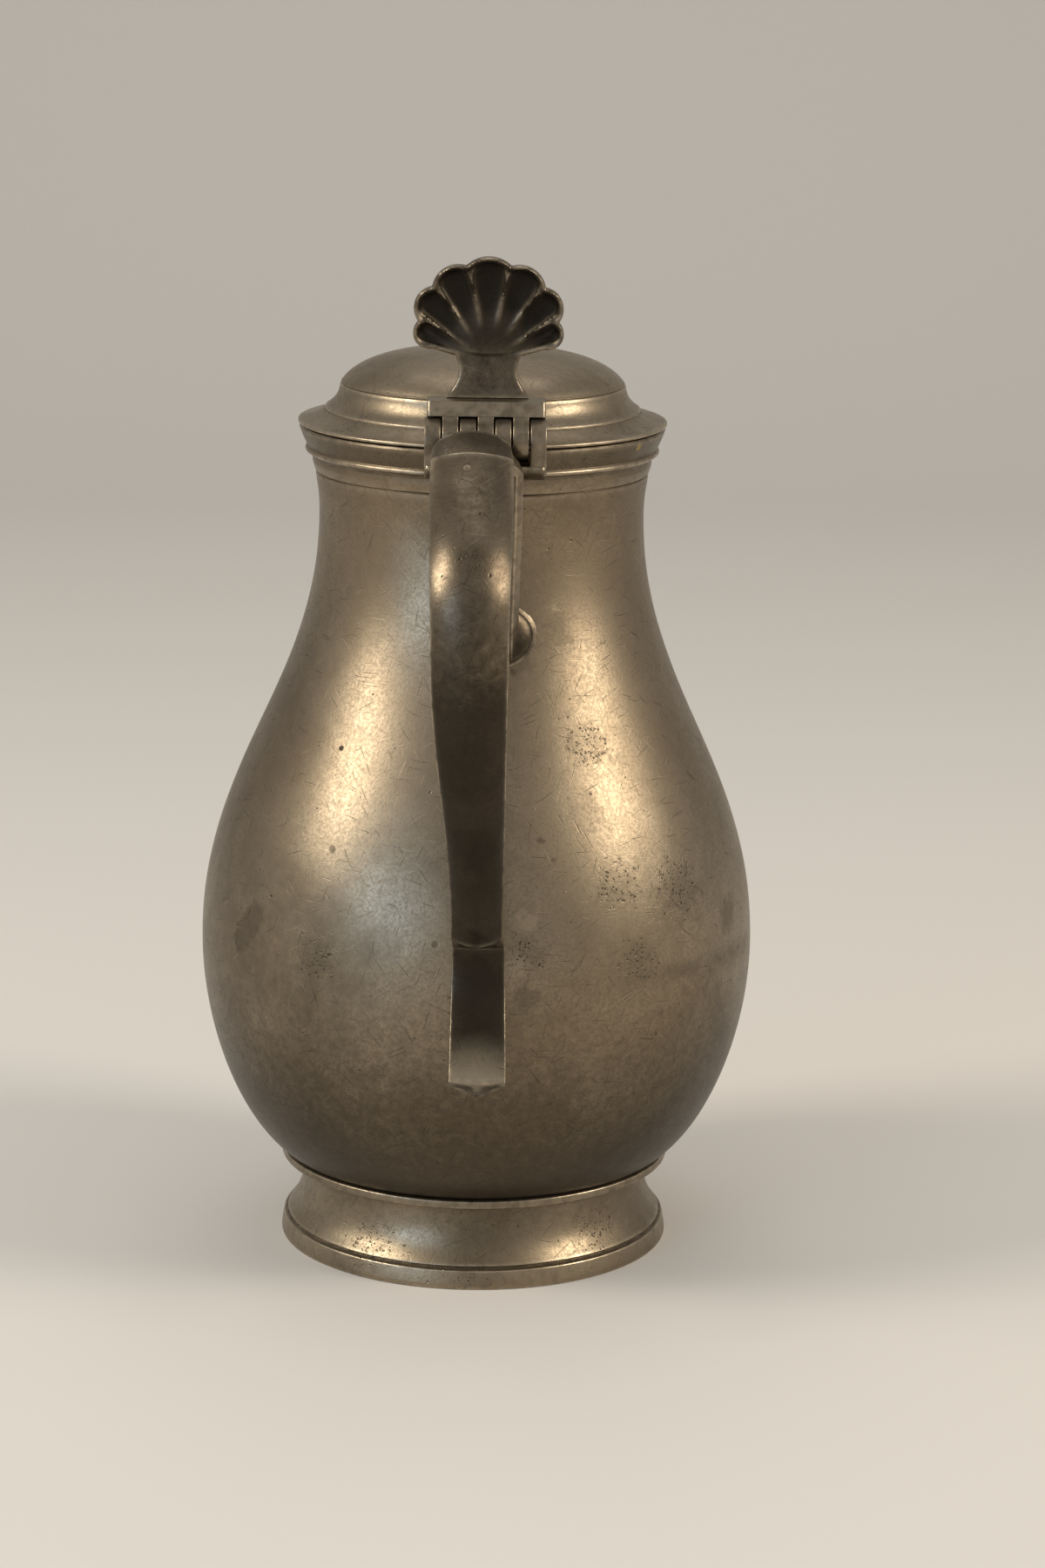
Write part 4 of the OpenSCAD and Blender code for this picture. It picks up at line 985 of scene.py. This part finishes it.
def makePad():
    p = pad
    rim, swell = p["rim"], p["rise"] - p["rim"]
    profile = [(1.0, -1.2), (1.0, rim*0.6), (0.97, rim), (0.92, rim*1.1)]
    for share, rise in (polar(1, a) for a in range(5, 90, 7)):
        profile.append((0.9*share, rim*1.1 + swell*rise))
    verts = []
    for share, rise in profile:
        for c, s in spokes(p["spokes"]):
            x, z = share*p["halfWidth"]*c, p["height"] + share*p["halfHeight"]*s
            wall = outAt(z)
            turn = x/wall
            verts.append((hinge["set"] + (wall + rise)*math.sin(turn), -(wall + rise)*math.cos(turn), z))
    piece = newPiece("neckPad", verts, tubeFaces(len(profile), p["spokes"]))
    finishPiece(piece, "flagon", ["neck_pad"], "handlePewter", 50)


thumb = {
    "root": 260.75, "reach": 28.0, "set": 1.25, "back": 49.2, "thick": 3.2, "lean": 5.5, "top": 288.75,
    "under": 250.75, "strapWidth": 23.0, "waistWidth": 15.6, "waist": 258.25, "spacing": 0.42,
    "lobeTurn": (0, 23.2, 45.1, 65.5), "lobeShare": (0.694, 0.724, 0.707, 0.62),   # from the middle outwards
    "lobeRound": (0.306, 0.256, 0.209, 0.152), "fluteShare": (0.80, 0.81, 0.75, 0.645),
    "fluteDepth": 2.3, "fluteWidth": (4.5, 4.2, 3.6, 2.5), "ribRise": 0.56, "ribWidth": 4.6,
    "rim": 1.0, "rimWidth": 1.9, "dish": 0.2, "step": 0.45, "fillet": 1.6, "filletHeight": 3.0,
    "rounding": 0.55,
}


def lobeTurn(k):
    return math.radians(math.copysign(thumb["lobeTurn"][abs(k)], k))


def shellOutline():
    t = thumb
    lobes = []
    for k in range(-3, 4):
        a, d = lobeTurn(k), t["reach"]*t["lobeShare"][abs(k)]
        lobes.append((d*math.sin(a), d*math.cos(a), t["reach"]*t["lobeRound"][abs(k)]))
    points = []
    for degrees in np.arange(0, 75.2, 0.8):
        a = math.radians(degrees)
        best = 0
        for x, z, r in lobes:
            middle = x*math.sin(a) + z*math.cos(a)
            off = r*r - (x*x + z*z - middle*middle)
            if off > 0:
                best = max(best, middle + math.sqrt(off))
        points.append((best*math.sin(a), best*math.cos(a)))
    x, z, r = lobes[-1]
    last = math.atan2(points[-1][1] - z, points[-1][0] - x)
    points += [(x + r*math.cos(b), z + r*math.sin(b)) for b in np.linspace(last, -1.75, 12)[1:]]
    low, waist = (t["waistWidth"]*0.56, 1.2), (t["waistWidth"]/2, t["waist"] - t["root"])
    corner, end = (t["strapWidth"]/2, t["under"] - t["root"]), points[-1]
    points += [between(end, low, s) for s in np.linspace(0, 1, 16)[1:]]
    points += bezier(low, (t["waistWidth"]*0.53, 0.2), (waist[0], waist[1] + 1.5), waist, 8)[1:]
    points += bezier(waist, (waist[0], mix(waist[1], corner[1], 0.4)),
                     (mix(waist[0], corner[0], 0.3), corner[1] + 2.6), corner, 16)[1:]
    points += [(x, corner[1]) for x in np.linspace(corner[0], 0, 28)[1:]]
    half = np.array(points)
    mirrored = half[::-1][1:-1]*np.array([-1, 1])
    return np.concatenate([half, mirrored])


def distanceToLine(p, line):
    best = np.full(len(p), 1e9)
    for s, e in zip(line, np.roll(line, -1, axis=0)):
        d = e - s
        t = np.clip(((p - s) @ d)/max(d @ d, 1e-12), 0, 1)
        best = np.minimum(best, np.hypot(*(p - s - t[:, None]*d).T))
    return best


def fillOutline(outline, spacing):
    # triangles over the outline, with rows of points inside it
    low, high = outline.min(0), outline.max(0)
    grid = []
    z = low[1] + spacing*0.6
    while z < high[1]:
        xs = np.arange(low[0] + (len(grid) % 2)*spacing/2, high[0], spacing)
        grid.append(np.stack([xs, np.full(len(xs), z)], axis=1))
        z += spacing*0.866
    grid = np.concatenate(grid)
    inside = np.zeros(len(grid), bool)
    for s, e in zip(outline, np.roll(outline, -1, axis=0)):
        crosses = (s[1] > grid[:, 1]) != (e[1] > grid[:, 1])
        edge = (e[0] - s[0])*(grid[:, 1] - s[1])/(e[1] - s[1] + 1e-15) + s[0]
        inside ^= crosses & (grid[:, 0] < edge)
    grid = grid[inside & (distanceToLine(grid, outline) > spacing*0.45)]
    border = [(i, (i + 1) % len(outline)) for i in range(len(outline))]
    points = [Vector(p) for p in np.concatenate([outline, grid])]
    filled = delaunay_2d_cdt(points, border, [], 1, 1e-6)
    return np.array([tuple(v) for v in filled[0]]), [tuple(f) for f in filled[2]]


def makeThumbpiece():
    t = thumb
    outline = shellOutline()
    p, triangles = fillOutline(outline, t["spacing"])
    away = distanceToLine(p, outline)
    x, z = p[:, 0], p[:, 1]
    height = z + t["root"]
    front = t["back"] + t["thick"]
    face = np.array(bezier((front, t["waist"]), (front, mix(t["waist"], t["top"], 0.4)),
                           (front + t["lean"]*0.4, mix(t["waist"], t["top"], 0.7)),
                           (front + t["lean"], t["top"]), 40))
    lean = np.interp(height, face[:, 1], face[:, 0]) - front
    fillet = t["fillet"]*np.clip(1 - (height - t["under"])/t["filletHeight"], 0, 1)**2.2
    shell = smooth(0.0, 7.0, z)
    cut, ribs = np.zeros(len(p)), np.zeros(len(p))
    for k in range(-3, 4):
        a = lobeTurn(k)
        far = t["reach"]*t["fluteShare"][abs(k)]
        on, off = x*math.sin(a) + z*math.cos(a), x*math.cos(a) - z*math.sin(a)
        # flutes that widen and sink towards their lobes, with low round ribs between them
        s = on/far
        wide = t["fluteWidth"][abs(k)]*(0.12 + 0.88*np.clip(s, 0.02, 1)**0.85)
        over = np.clip(s - 1, 0, None)*far
        bowl = np.clip(1 - (off*off + over*over)/wide**2, 0, 1)**0.5
        depth = t["fluteDepth"]*smooth(0.2, 0.9, s)*(0.8 if abs(k) == 3 else 1)*smooth(0.3, 2.0, away)
        cut = (cut**4 + (bowl*depth)**4)**0.25
        # the back shows the lobes as low swellings
        s = np.clip(on/t["reach"], 0, 1)
        ribs = np.maximum(ribs, t["ribRise"]*shell*s*np.clip(1 - (off/(t["ribWidth"]*s + 0.3))**2, 0, 1))
    rim = t["rim"]*shell*smooth(t["rimWidth"], 0.35, away)
    dish = t["dish"]*shell*smooth(0.35, 1.0, np.hypot(x, z)/t["reach"])
    edge = np.clip(t["rounding"] - away, 0, t["rounding"])
    soft = t["rounding"] - np.sqrt(np.maximum(t["rounding"]**2 - edge**2, 0))
    begin = t["step"]*smooth(0.9, 2.1, z - 0.02*x*x)
    frontReach = front + lean + fillet + rim + dish + begin - cut - soft
    backReach = front + lean + dish - t["thick"] - ribs + soft - fillet*0.3
    verts = [(t["set"] + across, -reach, up) for skin in (frontReach, backReach)
             for across, reach, up in zip(x, skin, height)]
    m, n = len(p), len(outline)
    faces = triangles + [tuple(m + i for i in reversed(f)) for f in triangles]
    faces += [(i, m + i, m + (i + 1) % n, (i + 1) % n) for i in range(n)]
    piece = newPiece("shellThumbpiece", verts, faces)
    # the flutes' depth, which the finish darkens as painted shade
    fluteShading = np.concatenate([smooth(0.25, 0.85, cut/t["fluteDepth"]), np.zeros(m)])
    flutes = piece.data.attributes.new("flute", "FLOAT", "POINT")
    flutes.data.foreach_set("value", fluteShading.astype(np.float32))
    finishPiece(piece, "lid", ["thumbpiece"], "shellPewter", 60)


def dressCadNodes():
    # these small pieces keep their solids and get the finish of the metal
    for node, finish in (("base_disc", "insidePewter"), ("hinge_pin", "pinIron"), ("lid_bezel", "lidPewter")):
        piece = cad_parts[node]
        piece.data.materials.clear()
        piece.data.materials.append(material[finish])


makeFoot()
makeBody()
makeLid()
makeHinge()
makeHandle()
makePlug()
makePad()
makeThumbpiece()
dressCadNodes()
print("flagon dressed")


def makeStage():
    s = studio
    bend, radius = s["bendStart"], s["bendRadius"]
    line = [(s["floorFront"], 0.0), (bend, 0.0)]
    line += [(bend + radius*math.sin(a), radius*(1 - math.cos(a))) for a in np.linspace(0.08, math.pi/2, 18)]
    line.append((bend + radius, s["wallHeight"]))
    verts = [(side*s["halfWidth"], y, z) for y, z in line for side in (-1, 1)]
    faces = [(2*i, 2*i + 1, 2*i + 3, 2*i + 2) for i in range(len(line) - 1)]
    sweep = newPiece("studioSweep", verts, faces, scale=1)
    for face in sweep.data.polygons:
        face.use_smooth = True
    paper = bpy.data.materials.new("palePaper")
    paper.use_nodes = True
    shader = paper.node_tree.nodes["Principled BSDF"]
    shader.inputs["Base Color"].default_value = (*s["floorColour"], 1)
    shader.inputs["Roughness"].default_value = 0.9
    sweep.data.materials.append(paper)
    world = bpy.data.worlds.new("studioWorld")
    bpy.context.scene.world = world
    world.use_nodes = True
    tree = world.node_tree
    background = tree.nodes["Background"]
    background.inputs["Color"].default_value = (*s["worldColour"], 1)
    background.inputs["Strength"].default_value = 1.0
    for name, (place, width, height, watts, colour) in s["lamps"].items():
        lamp = bpy.data.lights.new(name, "AREA")
        lamp.shape = "RECTANGLE"
        lamp.size, lamp.size_y = width, height
        lamp.energy, lamp.color = watts, colour
        piece = bpy.data.objects.new(name, lamp)
        bpy.context.scene.collection.objects.link(piece)
        piece.location = place
        aim = Vector(s["aim"]) - Vector(place)
        piece.rotation_euler = aim.to_track_quat("-Z", "Y").to_euler()


def makeCamera():
    c = photoCamera
    pan, pitch, roll = (math.radians(c[k]) for k in ("pan", "pitch", "roll"))
    forward = Vector((math.sin(pan)*math.cos(pitch), math.cos(pan)*math.cos(pitch), -math.sin(pitch)))
    right = Vector((math.cos(pan), -math.sin(pan), 0))
    up = right.cross(forward)
    rolledRight = math.cos(roll)*right + math.sin(roll)*up
    rolledUp = -math.sin(roll)*right + math.cos(roll)*up
    lens = bpy.data.cameras.new("photoCamera")
    lens.lens, lens.sensor_width, lens.sensor_fit = c["lens"], c["sensor"], "AUTO"
    lens.clip_end = 50
    camera = bpy.data.objects.new("photoCamera", lens)
    bpy.context.scene.collection.objects.link(camera)
    turn = Matrix((rolledRight, rolledUp, -forward)).transposed()
    camera.matrix_world = Matrix.Translation(Vector(c["place"])*mm) @ turn.to_4x4()
    bpy.context.scene.camera = camera


makeStage()
makeCamera()
bpy.context.scene.view_settings.view_transform = "Standard"
print("studio ready")
